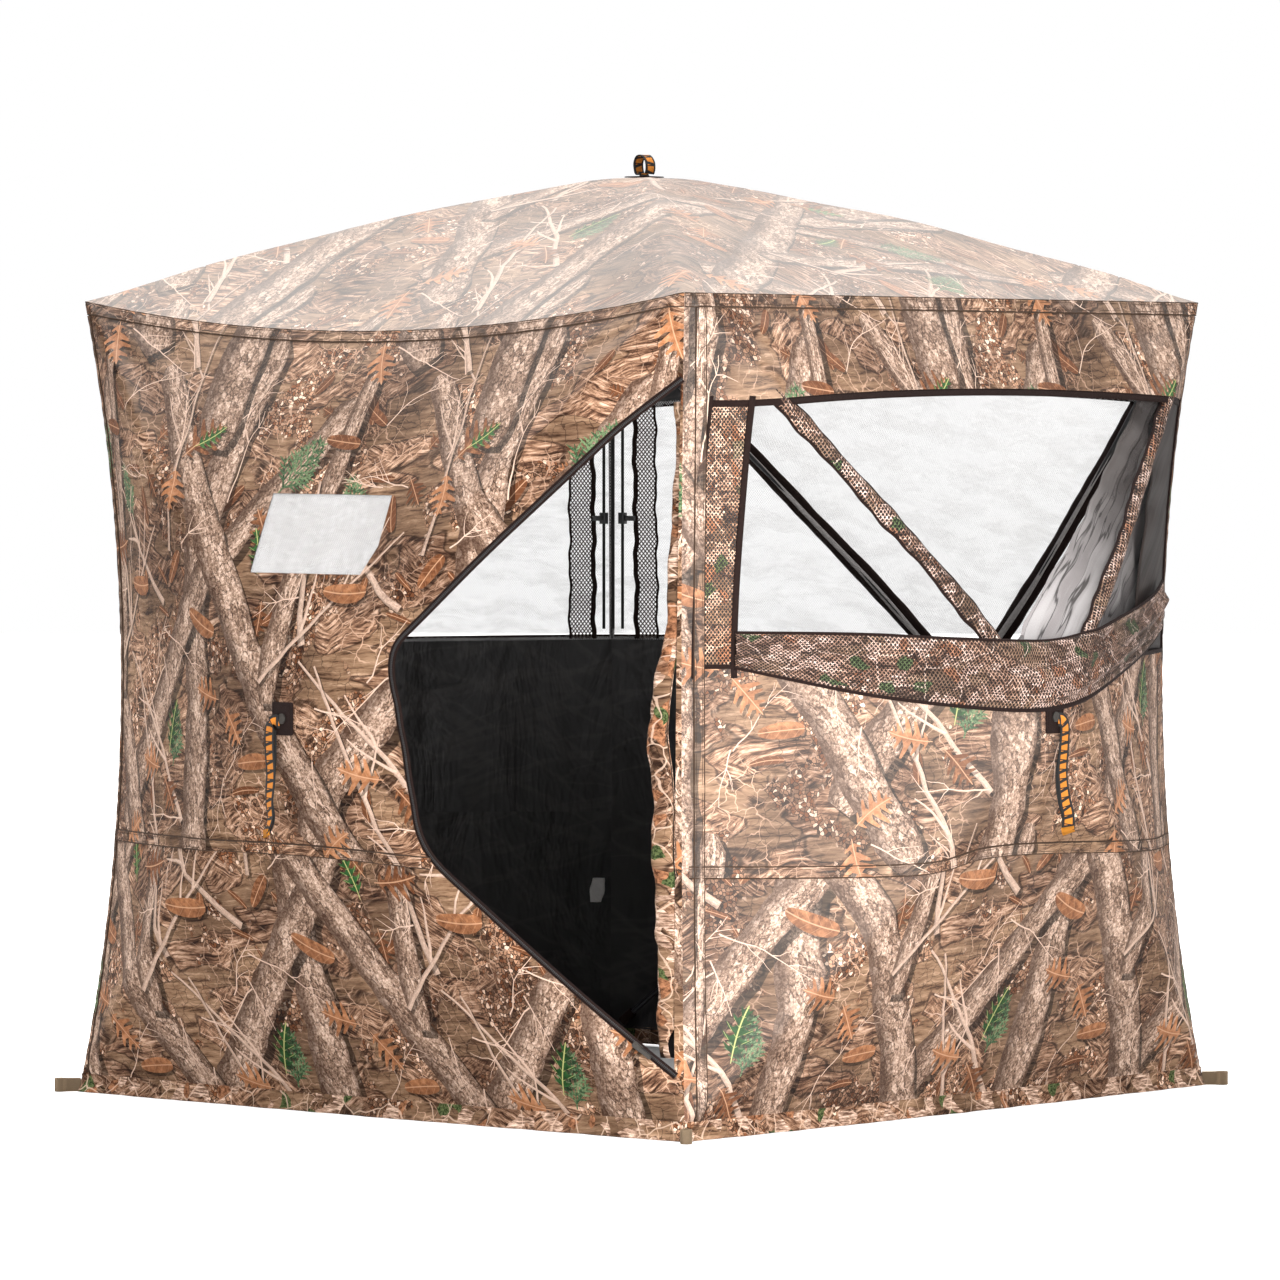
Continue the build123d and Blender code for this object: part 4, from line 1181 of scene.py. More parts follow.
def fabric(
    name, panel, outer, gaps=(), move=(0, 0), print_on=True, spacing=PITCH, materials=None,
    slot="camo_fabric", lining="lining", lift=0.0, thickness=CLOTH_T
):
    """A sewn panel of cloth over part of a face, printed outside and coated black inside."""
    outer = np.asarray(outer, float)
    gaps = [np.asarray(gap, float) for gap in gaps]
    motifs = printed(outer, np.array(move)) if print_on else []
    marks = []
    for index, motif in enumerate(motifs):
        if motif.shadow is not None:
            marks.append((motif.outline + motif.shadow, index, True))
        marks.append((motif.outline, index, False))
    q, tris = fill(outer, gaps, spacing, [outline for outline, _, _ in marks])
    centre = q[tris].mean(1)
    order = np.argsort(centre[:, 0])
    kind, owner, shade = np.zeros(len(tris), int), np.full(len(tris), -1), np.ones(len(tris))
    for outline, index, is_shadow in marks:
        a, b = outline.min(0), outline.max(0)
        first, last = np.searchsorted(centre[order, 0], (a[0], b[0]))
        near = order[first:last]
        near = near[(centre[near, 1] > a[1]) & (centre[near, 1] < b[1])]
        hit = near[inside(centre[near], outline)]
        if is_shadow:
            shade[hit] *= motifs[index].shade
        else:
            kind[hit], owner[hit], shade[hit] = KINDS.index(motifs[index].kind), index, 1.0
    place = np.zeros((len(tris), 3, 3))
    for index in np.unique(owner[owner >= 0]):
        mine = owner == index
        place[mine, :, :2] = motifs[index].places(q[tris[mine]])
        place[mine, :, 2] = motifs[index].tone
    shade = np.maximum(shade, 0.25)
    local, normal = panel.both(q)
    top = (local + normal * lift) @ panel.axes
    bottom = (local + normal * (lift - thickness)) @ panel.axes
    edges = np.sort(tris[:, [0, 1, 1, 2, 2, 0]].reshape(-1, 2), axis=1)
    pairs, counts = np.unique(edges, axis=0, return_counts=True)
    single = {tuple(e) for e in pairs[counts == 1].tolist()}
    sides = [side for a, b, c in tris.tolist() for side in ((a, b), (b, c), (c, a))]
    rim = [(a, b) for a, b in sides if (min(a, b), max(a, b)) in single]
    count = len(q)
    faces = tris.tolist() + (tris[:, ::-1] + count).tolist()
    faces += [(b, a, a + count, b + count) for a, b in rim]
    names = materials or KINDS
    slots = np.concatenate([kind, np.full(len(tris), len(names)), np.zeros(len(rim), int)])
    flat = np.concatenate([q, q]) - move
    mesh = new_mesh(name, np.concatenate([top, bottom]), faces, slots, flat, names + [lining])
    if print_on:
        data = np.zeros((len(mesh.loops), 3), np.float32)
        data[: 3 * len(tris)] = place.reshape(-1, 3)
        mesh.attributes.new("print", "FLOAT_VECTOR", "CORNER").data.foreach_set("vector", data.ravel())
        dark = np.ones(len(faces), np.float32)
        dark[: len(tris)] = shade
        mesh.attributes.new("shade", "FLOAT", "FACE").data.foreach_set("value", dark)
    both = (normal @ panel.axes).astype(np.float32)
    mesh.normals_split_custom_set_from_vertices(np.concatenate([both, -both]).tolist())
    piece = link(name, mesh)
    weight = panel.weight(q)
    follow(piece, panel)
    first, second, third = q[tris].transpose(1, 0, 2)
    area = np.abs(np.cross(second - first, third - first)).sum() / 2
    size = outer.max(0) - outer.min(0)
    return piece, (float(size[0]), float(size[1])), float(area)


def stretched(replaced=None):
    """Hides the CAD part that a sheet from fabric() replaces, if one is named."""
    if replaced:
        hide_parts(replaced)


def net(name, panel, loop, material, slot, lift, thickness, replaced=None):
    """A net sewn behind an opening of a wall."""
    look = {"print_on": False, "materials": [material], "lining": material, "slot": slot}
    made = fabric(name, panel, loop, lift=lift, thickness=thickness, **look)
    stretched(replaced)


def edge_line(a, b, step=EDGE_STEP):
    return even([a, b], step)[:-1]


def loop_of(points, step=EDGE_STEP):
    """A closed outline of straight runs with points along it."""
    return np.concatenate([edge_line(a, b, step) for a, b in zip(points, [*points[1:], points[0]])])


def close(line, *corners):
    """An outline: along a line, then round by these corners back to its start."""
    stops = [line[-1], *corners, line[0]]
    return np.concatenate([line[:-1], *(edge_line(a, b) for a, b in zip(stops, stops[1:]))])


def wall_edge(v):
    """Half a wall's width at a height, before its edges are drawn in."""
    return HALF_LOW + (HALF_TOP - HALF_LOW) * (v - HEM) / (EAVE - HEM)


def seam_path(panel, places):
    """A line across a whole panel through these places on it, from edge to edge."""
    q = panel.flat(even(smooth_path(places), 0.02))
    left, right = q[0].copy(), q[-1].copy()
    left[0], right[0] = -wall_edge(left[1]), wall_edge(right[1])
    inner = q[(q[:, 0] > left[0] + 0.01) & (q[:, 0] < right[0] - 0.01)]
    return even(np.concatenate([[left], inner, [right]]), EDGE_STEP)


SEAMS = {
    "front": [(-0.70, 0.472), (-0.35, 0.478), (0.0, 0.478), (0.25, 0.468), (0.45, 0.455), (0.70, 0.452)],
    "right": [(-0.70, 0.456), (-0.30, 0.452), (-0.12, 0.474), (0.10, 0.474), (0.49, 0.460), (0.70, 0.458)],
    "back": [(-0.70, 0.462), (-0.2, 0.470), (0.2, 0.472), (0.70, 0.462)],
    "left": [(-0.70, 0.460), (-0.2, 0.468), (0.2, 0.470), (0.70, 0.466)],
}
for side in WALLS:
    side.seam = seam_path(side, SEAMS[side.name])
    side.seams = [side.seam]

# Door outline and port, as places on the front face
DOOR = rounded(
    [(0.704, 1.304), (0.600, 1.216), (0.204, 0.830), (0.268, 0.488), (0.706, 0.108)], (0.6, 0.085, 0.17)
)
PORT = [(-0.123, 1.102), (-0.133, 0.963), (0.132, 0.962), (0.160, 1.012), (0.163, 1.100)]
door_line = FRONT.flat(DOOR)
port_loop = FRONT.flat(loop_of(PORT, 0.010))
door_back = edge_line(door_line[-1], door_line[0])[1:]


def window_top(panel, u):
    """The height of a window's upper edge, which is a shallow arch."""
    low, rise, middle = (1.265, 0.022, 0.05) if panel is RIGHT else (FAR_HIGH, 0.030, 0.0)
    return low + rise * (1 - np.minimum(np.abs(u - middle) / 0.66, 1) ** 2)


def window_loop(panel, half, grow=0.0):
    """A window's four edges. At the back left corner both windows run on to the corner seam."""
    ends = {"back": (-half, None), "left": (None, half)}.get(panel.name, (-half, half))
    rows = []
    for end, upper in ((0, False), (1, False), (1, True), (0, True)):
        sign = 2 * end - 1
        v = window_top(panel, sign * half) + grow if upper else WIN_LOW - grow
        if ends[end] is None:
            row = panel.flat([[0.0, v]])[0]
            q = np.array([sign * (wall_edge(row[1]) - 0.005 + grow * 0.4), row[1]])
            for _ in range(6):
                q[1] += v - panel.local([q])[0, 1]
            rows.append(q)
        else:
            rows.append(panel.flat([[ends[end] + sign * grow, v]])[0])
    sides = []
    for k, (a, b) in enumerate(zip(rows, rows[1:] + rows[:1])):
        (u_a, v_a), (u_b, v_b) = panel.local([a])[0, :2], panel.local([b])[0, :2]
        if k % 2 == 0:
            us = even([(u_a,), (u_b,)], EDGE_STEP)[:, 0]
            vs = window_top(panel, us) + grow if k == 2 else np.full(len(us), WIN_LOW - grow)
            line = panel.flat(np.column_stack([us, vs]))
        elif (ends[1] if k == 1 else ends[0]) is None:
            line = even([a, b], EDGE_STEP)
        else:
            line = panel.flat(even([(u_a, v_a), (u_a, v_b)], EDGE_STEP))
        line[0], line[-1] = a, b
        sides.append(line)
    return sides


def window_outline(panel, half, grow=0.0):
    return np.concatenate([side[:-1] for side in window_loop(panel, half, grow)])


WINDOWS = {"right": 0.664, "back": 0.655, "left": 0.655}
MOVES = {
    "front": (0.115, 0.335), "right": (0.31, 0.40), "back": (0.20, 0.62), "left": (0.47, 0.18),
    "roof": (0.05, 0.27)
}


def cut_door():
    """Where the seam meets the door: at its nose, at its back, and the outline's last point above it."""
    seam = FRONT.seam
    on_line = (np.interp(door_line[:, 0], seam[:, 0], seam[:, 1]) < door_line[:, 1])
    cross = np.flatnonzero(on_line[:-1] & ~on_line[1:])[0]
    a, b = door_line[cross], door_line[cross + 1]
    back_u = door_line[0][0]
    t = (a[1] - np.interp(a[0], seam[:, 0], seam[:, 1])) / (a[1] - b[1])
    nose = a + (b - a) * t
    rear = np.array([back_u, np.interp(back_u, seam[:, 0], seam[:, 1])])
    return nose, rear, cross


nose, rear, cross = cut_door()
left_seam = FRONT.seam[FRONT.seam[:, 0] < nose[0] - 0.004]
right_seam = FRONT.seam[FRONT.seam[:, 0] > rear[0] + 0.004]
over_door = np.concatenate(
    [
        left_seam, [nose], door_line[: cross + 1][::-1],
        [p for p in door_back[::-1] if p[1] > rear[1] + 0.004], [rear], right_seam,
    ]
)
under_door = np.concatenate(
    [
        right_seam[::-1], [rear], [p for p in door_back[::-1] if p[1] < rear[1] - 0.004],
        door_line[cross + 1 :][::-1], [nose], left_seam[::-1],
    ]
)

# ------------------------------------------------------------ fabric panels

for side in WALLS:
    if side is FRONT:
        upper, lower, gaps = over_door, under_door, [port_loop]
    else:
        upper, lower, gaps = side.seam, side.seam[::-1], [window_outline(side, WINDOWS[side.name])]
    move = MOVES[side.name]
    for part, outer, cut, shift in (
        ("upper", close(upper, TOP_RIGHT, TOP_LEFT), gaps, move),
        ("lower", close(lower, LOW_LEFT, LOW_RIGHT), [], tuple(np.add(move, WALL_REPEAT_SHIFT))),
    ):
        cloth = fabric(f"{side.name}_wall_{part}_cloth", side, outer, cut, shift)
        stretched(f"{side.name}_wall")

ridge = even([(HALF_TOP, -HALF_TOP), (-HALF_TOP, HALF_TOP)], EDGE_STEP)
for part, line, sign in (("left", ridge, -1), ("right", ridge[::-1], 1)):
    outer = close(line, (sign * HALF_TOP, sign * HALF_TOP))
    cloth = fabric(f"roof_cloth_{part}", ROOF, outer, [], MOVES["roof"])
    stretched("roof")

# Nets over the back and left windows, the port, and the strip beside the right window
for side in (BACK, LEFT):
    loop = window_outline(side, WINDOWS[side.name], 0.008)
    names = f"{side.name}_window_net", f"{side.name}_window_mesh"
    net(names[0], side, loop, "net", "window_mesh", -0.0016, 0.0004, names[1])
loop = FRONT.flat(loop_of([(-0.150, 0.945), (0.176, 0.945), (0.176, 1.116), (-0.140, 1.116)]))
net("port_net", FRONT, loop, "port_net", "window_mesh", -0.0022, 0.0004)
low, high = WIN_LOW - 0.008, WIN_HIGH + 0.008
loop = RIGHT.flat(loop_of([(-0.664, low), (-0.602, low), (-0.602, high), (-0.664, high)]))
net("right_window_strip_net", RIGHT, loop, "camo_net", "camo_mesh", -0.0016, 0.0006, "right_window_strip")

# ------------------------------------------------------------ seams and bindings

STITCHED_PROFILE = [(-1, 0.0004), (-0.5, 0.0024), (0.5, 0.0024), (1, 0.0004)]
TAPE_PROFILE = [(-1, 0.0003), (-0.8, 0.0011), (0, 0.0013), (0.8, 0.0011), (1, 0.0003)]


def gather(run, x):
    return 0.0006 * np.sin(run * 150 + 2 * np.sin(run * 37)) * (1 - x * x)


def printed_band(name, panel, line, width):
    """A raised felled seam, cut from the same print as the wall under it, with dark stitched edges."""
    _, left = frame_of(line)
    outline = np.concatenate([line + left * width / 2, (line - left * width / 2)[::-1]])[::-1]
    piece, _, _ = fabric(
        name, panel, outline, [], MOVES[panel.name], spacing=SEAM_STEP, lining="thread", lift=0.0021,
        thickness=0.0022
    )
    edges = Piece()
    for off, wide in ((-0.5, 0.0030), (0.5, 0.0030), (-0.30, 0.0012), (0.30, 0.0012)):
        band(edges, panel, line + left * (width * off), wide, STITCHED_PROFILE, wave=gather)
    edges.build(name + "_edges", ["thread"], "dark_tape", panel=panel)


for side in WALLS:
    eave = even([(-HALF_TOP + 0.002, EAVE - 0.0125), (HALF_TOP - 0.002, EAVE - 0.0125)], SEAM_STEP)
    printed_band(f"{side.name}_eave_seam", side, eave, 0.022)
    runs = [side.seam[1:-1]]
    if side is FRONT:
        runs = [[*left_seam[1:], nose - (0.007, 0)], [rear, *right_seam[:-1]]]
    for number, run in enumerate(runs):
        if len(run) > 2:
            printed_band(f"{side.name}_middle_seam_{number}", side, even(run, SEAM_STEP), 0.019)
    at = 0.030 if side is RIGHT else 0.013
    spans = [(HEM + 0.004, EAVE - 0.026)]
    if side is LEFT:
        spans = [(HEM + 0.004, WIN_LOW - 0.012), (FAR_HIGH + 0.012, EAVE - 0.026)]
    for number, (low, high) in enumerate(spans):
        edge = even([(-wall_edge(low) + at, low), (-wall_edge(high) + at, high)], SEAM_STEP)
        printed_band(f"{side.name}_corner_seam_{number}", side, edge, 0.017)
    binding = Piece()
    if side in (BACK, LEFT):
        lines = window_loop(side, WINDOWS[side.name])
        lines.pop(1 if side is BACK else 3)
        for line in lines:
            band(binding, side, line, 0.0045, TAPE_PROFILE, under=-0.0020)
    if side is RIGHT:
        low_line, _, high_line, _ = window_loop(side, WINDOWS[side.name])
        flat_profile = [(-1, -0.0011), (0, -0.0010), (1, -0.0011)]
        band(binding, side, high_line + (0, -0.004), 0.016, flat_profile, under=-0.0022)
        band(binding, side, low_line, 0.008, TAPE_PROFILE)
        for u, wide in ((-0.600, 0.011), (-0.662, 0.006), (0.660, 0.006)):
            upright = side.flat(even([(u, WIN_LOW - 0.02), (u, WIN_HIGH)], EDGE_STEP))
            band(binding, side, upright, wide, TAPE_PROFILE, under=-0.0030)
    if binding.count:
        binding.build(f"{side.name}_binding", ["tape"], "dark_tape", panel=side)

# Zip tape and teeth round the door
zipper, teeth = Piece(), Piece()
ZIP_PROFILE = [
    (-1, 0.0004), (-0.85, 0.0013), (-0.30, 0.0013), (-0.16, 0.0022), (0.16, 0.0022), (0.30, 0.0013),
    (0.85, 0.0013), (1, 0.0004)
]
inner_zip = door_line + frame_of(door_line)[1] * 0.0035
band(zipper, FRONT, inner_zip, 0.0125, ZIP_PROFILE)
line = even(inner_zip, 0.0031)
along, left = frame_of(line)
q, lift = [], []
for x, y, z in (
    (-1, -1, 0), (1, -1, 0), (1, 1, 0), (-1, 1, 0), (-0.6, -0.8, 1), (0.6, -0.8, 1), (0.6, 0.8, 1),
    (-0.6, 0.8, 1)
):
    q.append(line + along * x * 0.00105 + left * y * 0.0021)
    lift.append(np.full(len(line), 0.0021 + z * 0.0011))
flat_q = np.stack(q, 1).reshape(-1, 2)
points = FRONT.place(flat_q, np.stack(lift, 1).reshape(-1))
faces = []
for i in range(len(line)):
    b = i * 8
    faces += [
        (b + 4, b + 5, b + 6, b + 7), (b, b + 1, b + 5, b + 4), (b + 1, b + 2, b + 6, b + 5),
        (b + 2, b + 3, b + 7, b + 6), (b + 3, b, b + 4, b + 7), (b + 3, b + 2, b + 1, b)
    ]
teeth.add(points, faces, 0, flat_q, FRONT.weight(flat_q))
piece = zipper.build("door_zip_tape", ["tape"], "dark_tape", panel=FRONT)
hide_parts("door_zipper")
teeth.build("door_zip_teeth", ["moulded"], "dark_tape", panel=FRONT)

# ------------------------------------------------------------ window sleeves


def sleeve(name, panel, corner, span, material, slot, inset, width, depth, pale_middle=False):
    """A flat cloth tube over a pole in a window, with dark felled edges or a pale mesh middle."""
    end, start = panel.corners[corner][:2], panel.hub[:2]
    line = even([start + (end - start) * ((v - start[1]) / (end[1] - start[1])) for v in span], SEAM_STEP)
    body = Piece()
    _, left = frame_of(line)
    run = np.arange(len(line)) * SEAM_STEP
    uneven = 0.10 * np.sin(run * 29 + corner) + 0.09 * np.sin(run * 97) * np.sin(run * 13)
    half = width / 2 * (1 + (0.2 if pale_middle else 1) * uneven)[:, None]
    ring = [(x, inset + depth * 0.5 * (1 - x * x) ** 0.7) for x in np.linspace(-1, 1, 11)]
    ring += [(x, 2 * inset - z) for x, z in ring[::-1][1:-1]]
    q = np.stack([line + left * (x * half) for x, _ in ring], 1)
    lift = np.stack([np.full(len(line), z) + 0.0008 * np.sin(run * 60 + 3 * x) for x, z in ring], 1)
    points, weight = panel.grid(q, lift)
    body.loft(points[:, ::-1], 0, (q + (0.3, 0.1))[:, ::-1], weight[:, ::-1])
    if pale_middle:
        inner = inset - depth / 2
        band(body, panel, line, width * 0.34, [(x, inner) for x in (-1, 0, 1)], 1, inner - 0.0016)
    else:
        felled = [(-1, inset + 0.0002), (-0.5, inset + 0.0016), (0.5, inset + 0.0016), (1, inset + 0.0002)]
        for off in (-1, 1):
            band(body, panel, line + left * (off * half), 0.006, felled, 1, inset - 0.0014)
    return body.build(name, [material, "grey_mesh" if pale_middle else "tape"], slot, panel=panel)


span = (WIN_LOW - 0.012, WIN_HIGH + 0.012)
for name, corner in (("right_sleeve_far", 2), ("right_sleeve_near", 3)):
    piece = sleeve(name, RIGHT, corner, span, "cover_net", "camo_fabric", -0.0085, 0.036, 0.016)
    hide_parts("right_pole_sleeves")
span = (WIN_LOW - 0.012, FAR_HIGH)
for corner in (2, 3):
    sleeve(f"back_sleeve_{corner}", BACK, corner, span, "tape", "dark_tape", -0.0120, 0.046, 0.015, True)

def between(first, second, count):
    """A grid of places: `count` steps from one line of places to another, at the same step of both."""
    return np.stack([first * (1 - x) + second * x for x in np.linspace(0, 1, count)], 1)


# A fold of thin grey cloth in the far end of the right window
t = np.linspace(0, 1, 44)[:, None]
top_run, low_run = np.array([(0.492, 1.284), (0.652, 1.280)]), np.array([(-0.052, 0.842), (0.652, 0.812)])
grid = between(top_run[0] * (1 - t) + low_run[0] * t, top_run[1] * (1 - t) + low_run[1] * t, 40)
u, v = np.moveaxis(grid, 2, 0)
veil = Piece()
points, weight = RIGHT.hang(grid, -0.030 + 0.0032 * np.sin(u * 46 + v * 40 + 1.5 * np.sin(v * 11)))
veil.sheet(points, 0.0005, 0, uv=grid, weight=weight)
piece = veil.build("right_window_veil", ["veil"], "window_mesh", panel=RIGHT)

# The net that closes the window's far end, coloured as a darker copy of the veil: painted shade
near_edge = np.column_stack([0.530 - 0.110 * t, 1.284 - 0.486 * t])
far_edge = np.column_stack([0.664 + 0 * t, 1.282 - 0.486 * t])
grid = between(near_edge, far_edge, 12)
v = grid[..., 1]
depth = np.linspace(-0.0165, -0.0022, 12)
wave = 0.0016 * np.sin(v * 52 + 2 * np.sin(v * 17))
shade = Piece()
points, weight = RIGHT.hang(grid, depth + wave * np.clip(-depth / 0.010 - 0.3, 0, 1))
shade.sheet(points, 0.0005, 0, uv=grid, weight=weight)
piece = shade.build("right_window_shade_net", ["painted_shade_net"], "window_mesh", panel=RIGHT)

# ------------------------------------------------------------ draped window cover

cover = Piece()
TOP_EDGE = smooth_path(
    [
        (-0.600, 0.866), (-0.39, 0.861), (-0.20, 0.850), (0.0, 0.842), (0.12, 0.854), (0.28, 0.880),
        (0.49, 0.910), (0.60, 0.936)
    ]
)
LOW_EDGE = smooth_path(
    [
        (-0.600, 0.808), (-0.39, 0.760), (-0.20, 0.734), (-0.05, 0.724), (0.083, 0.736), (0.286, 0.780),
        (0.46, 0.816), (0.60, 0.850)
    ]
)
top, low = even(TOP_EDGE, 0.008), even(LOW_EDGE, 0.008)
count = min(len(top), len(low))
top, low = (line[np.linspace(0, len(line) - 1, count).astype(int)] for line in (top, low))
FOLD_ROWS = 44
q = between(top, low, FOLD_ROWS)
u, t = q[..., 0], np.linspace(0, 1, FOLD_ROWS)
pleat = 0.5 + 0.5 * np.sin(t * (17 + 3 * np.sin(u * 4.3)) + 2.4 * u + 0.8 * np.sin(u * 9))
lean = 0.5 + 0.5 * np.sin(t * 9 + 5.2 * u + 1.6)
fine = 0.5 + 0.5 * np.sin(t * 33 + u * 21)
swell = np.clip(np.sin(math.pi * t), 0, None) ** 0.5
points, weight = RIGHT.hang(q, 0.0022 + swell * (0.0072 * pleat + 0.0062 * lean + 0.0020 * fine))
uv = np.stack(np.broadcast_arrays(np.arange(count)[:, None] * 0.008, run_of(points[count // 2])), -1)
cover = Piece()
cover.sheet(points[:, ::-1], 0.0008, 0, uv=uv[:, ::-1], weight=weight[:, ::-1])
piece = cover.build("window_cover_net", ["cover_net"], "camo_mesh", panel=RIGHT)
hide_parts("window_cover")
hem_line = Piece()
for line, wide in ((low, 0.009), (top, 0.006)):
    profile = [(-1, 0.0030), (-0.5, 0.0046), (0.5, 0.0046), (1, 0.0030)]
    band(hem_line, RIGHT, RIGHT.flat(line), wide, profile, under=0.0008)
hem_line.build("window_cover_edges", ["tape"], "dark_tape", panel=RIGHT)

# ------------------------------------------------------------ rolled door flap

flap = Piece()
heights = np.linspace(0.140, 1.262, 90)
rows, uvs = [], []
TURNS, FLAP_DEPTH, FLAP_BEHIND = 110, 0.0070, 0.0180
for k, z in enumerate(heights):
    crossing = [
        a[0] + (b[0] - a[0]) * (z - a[1]) / (b[1] - a[1])
        for a, b in zip(DOOR, DOOR[1:])
        if min(a[1], b[1]) <= z <= max(a[1], b[1]) and a[1] != b[1]
    ]
    wide = max(0.690 - min(crossing, default=0.66), 0.06)
    back_u = np.interp(z, [0.108, 0.699, 1.290], [0.700, 0.650, 0.700]) - 0.002
    squeeze = 1 - 0.10 * sum(math.exp(-(((z - tie) / 0.012) ** 2)) for tie in (0.33, 0.72, 1.05))
    half_w = np.interp(z, [0.14, 0.35, 0.70, 0.85, 1.26], [0.020, 0.027, 0.024, 0.017, 0.014])
    half_w *= squeeze * (1 + 0.05 * math.sin(z * 41) + 0.03 * math.sin(z * 97))
    centre = np.array([back_u - half_w + 0.010 + 0.0020 * math.sin(z * 23), z])
    s = np.linspace(0, wide, TURNS)
    perimeter = 4 * half_w + 0.012
    angle = -math.tau * s / perimeter * 1.25
    shrink = 1 - 0.62 * s / max(wide, 0.30)
    x = half_w * shrink * np.sign(np.cos(angle)) * np.abs(np.cos(angle)) ** 0.75
    d = FLAP_DEPTH * squeeze * shrink * np.sin(angle)
    base = FRONT.local(FRONT.flat([centre]))[0]
    rows.append(np.column_stack([centre[0] + x, np.full(TURNS, z), base[2] - FLAP_BEHIND + d]))
    uvs.append(np.column_stack([s, np.full(TURNS, z)]))
points = FRONT.world(np.array(rows))
flap.sheet(points, 0.0008, 0, back=1, uv=np.array(uvs))
piece = flap.build("door_flap_roll", ["small", "lining"], "camo_fabric", body="door_flap_body")
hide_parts("door_flap")

# ------------------------------------------------------------ hub patches and straps


def ribbon(piece, line, across, width, thickness, slot=0, uv_start=0.0):
    """Webbing along a line in space, with its width along `across` at each point."""
    line, across = np.asarray(line, float), np.asarray(across, float)
    along = np.gradient(line, axis=0)
    along /= np.linalg.norm(along, axis=1)[:, None]
    across = across - (across * along).sum(1)[:, None] * along
    across /= np.linalg.norm(across, axis=1)[:, None]
    out = np.cross(along, across)
    run = uv_start + run_of(line)
    section = [
        (-1, 0.35), (-0.92, 1), (-0.45, 0.86), (0, 0.9), (0.45, 0.86), (0.92, 1), (1, 0.35), (1, -0.35),
        (0.92, -1), (0.45, -0.86), (0, -0.9), (-0.45, -0.86), (-0.92, -1), (-1, -0.35)
    ]
    points = np.stack([line + across * x * width / 2 + out * z * thickness / 2 for x, z in section], 1)
    uv = np.stack([np.column_stack([run, np.full(len(run), float(x))]) for x, _ in section], 1)
    piece.loft(points[:, ::-1], slot, uv[:, ::-1])


for side in WALLS + [ROOF]:
    cu, cv, hub_top = side.hub
    patch = Piece()
    half_u, half_v = 0.025, 0.029
    rows = []
    for inset, height in (
        (0, 0), (0, 0.0014), (0.0012, 0.0020), (0.0042, 0.0021), (0.0050, 0.0016), (0.0058, 0.0021),
        (0.014, 0.0022)
    ):
        ring = []
        r = 0.004
        for cx, cy, start in ((1, 1, 0), (-1, 1, 90), (-1, -1, 180), (1, -1, 270)):
            for a in np.radians(np.linspace(start, start + 90, 5)):
                ring.append(
                    (
                        cu + cx * (half_u - r) + r * math.cos(a) - cx * inset,
                        cv + cy * (half_v - r) + r * math.sin(a) - cy * inset,
                        hub_top + 0.0005 + height
                    )
                )
        rows.append(ring)
    rows = np.array(rows)
    patch.loft(side.world(rows), 0, rows[..., :2] - (cu, cv))
    piece = patch.build(f"{side.name}_patch", ["tape"], "dark_tape", body=side.body)
    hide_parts(f"{side.name}_hub_patch")

STRAPS = {
    "front": [
        (-0.006, 0.7055, 0.0052), (-0.018, 0.703, 0.0068), (-0.026, 0.690, 0.0072),
        (-0.027, 0.655, 0.0064), (-0.024, 0.610, 0.0062), (-0.026, 0.565, 0.0080), (-0.022, 0.536, 0.0098),
        (-0.030, 0.512, 0.0128)
    ],
    "right": [
        (0.006, 0.7055, 0.0052), (0.016, 0.703, 0.0068), (0.022, 0.690, 0.0072), (0.020, 0.655, 0.0064),
        (0.016, 0.610, 0.0062), (0.021, 0.565, 0.0080), (0.028, 0.536, 0.0098), (0.024, 0.512, 0.0128)
    ],
}
STRAPS["back"], STRAPS["left"] = STRAPS["front"], STRAPS["right"]
for side in WALLS:
    strap = Piece()
    places = np.array(STRAPS[side.name])
    places[:, 2] += side.hub[2]
    line = even(smooth_path(places, 12), 0.004)
    lean = np.zeros_like(line)
    twist = np.interp(line[:, 1], [0.51, 0.60, 0.69], [0.5, 0.12, 0.05])
    lean[:, 0], lean[:, 2] = np.cos(twist), np.sin(twist)
    top_turn = np.clip((line[:, 1] - 0.688) / 0.016, 0, 1)
    lean[:, 1] = top_turn * 0.9
    ribbon(strap, side.world(line), side.world(lean), 0.025, 0.0021)
    behind = line + np.column_stack(
        [0.0035 * np.sin(line[:, 1] * 40), np.zeros(len(line)), np.full(len(line), -0.0024)]
    )
    keep = line[:, 1] < 0.694
    ribbon(strap, side.world(behind[keep]), side.world(lean[keep]), 0.025, 0.0019, uv_start=0.4)
    tip = line[-1]
    box = np.array(
        [tip + (0, 0.004, -0.0012), tip + (0.001, -0.003, -0.0010), tip + (0.002, -0.008, 0.0006)]
    )
    ribbon(strap, side.world(box), side.world(np.tile(lean[-1], (3, 1))), 0.0245, 0.0052, slot=1)
    piece = strap.build(
        f"{side.name}_strap", ["strap", "strap_edge"], "black_webbing", body=f"{side.name}_pull_strap_body"
    )
    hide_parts(f"{side.name}_pull_strap")

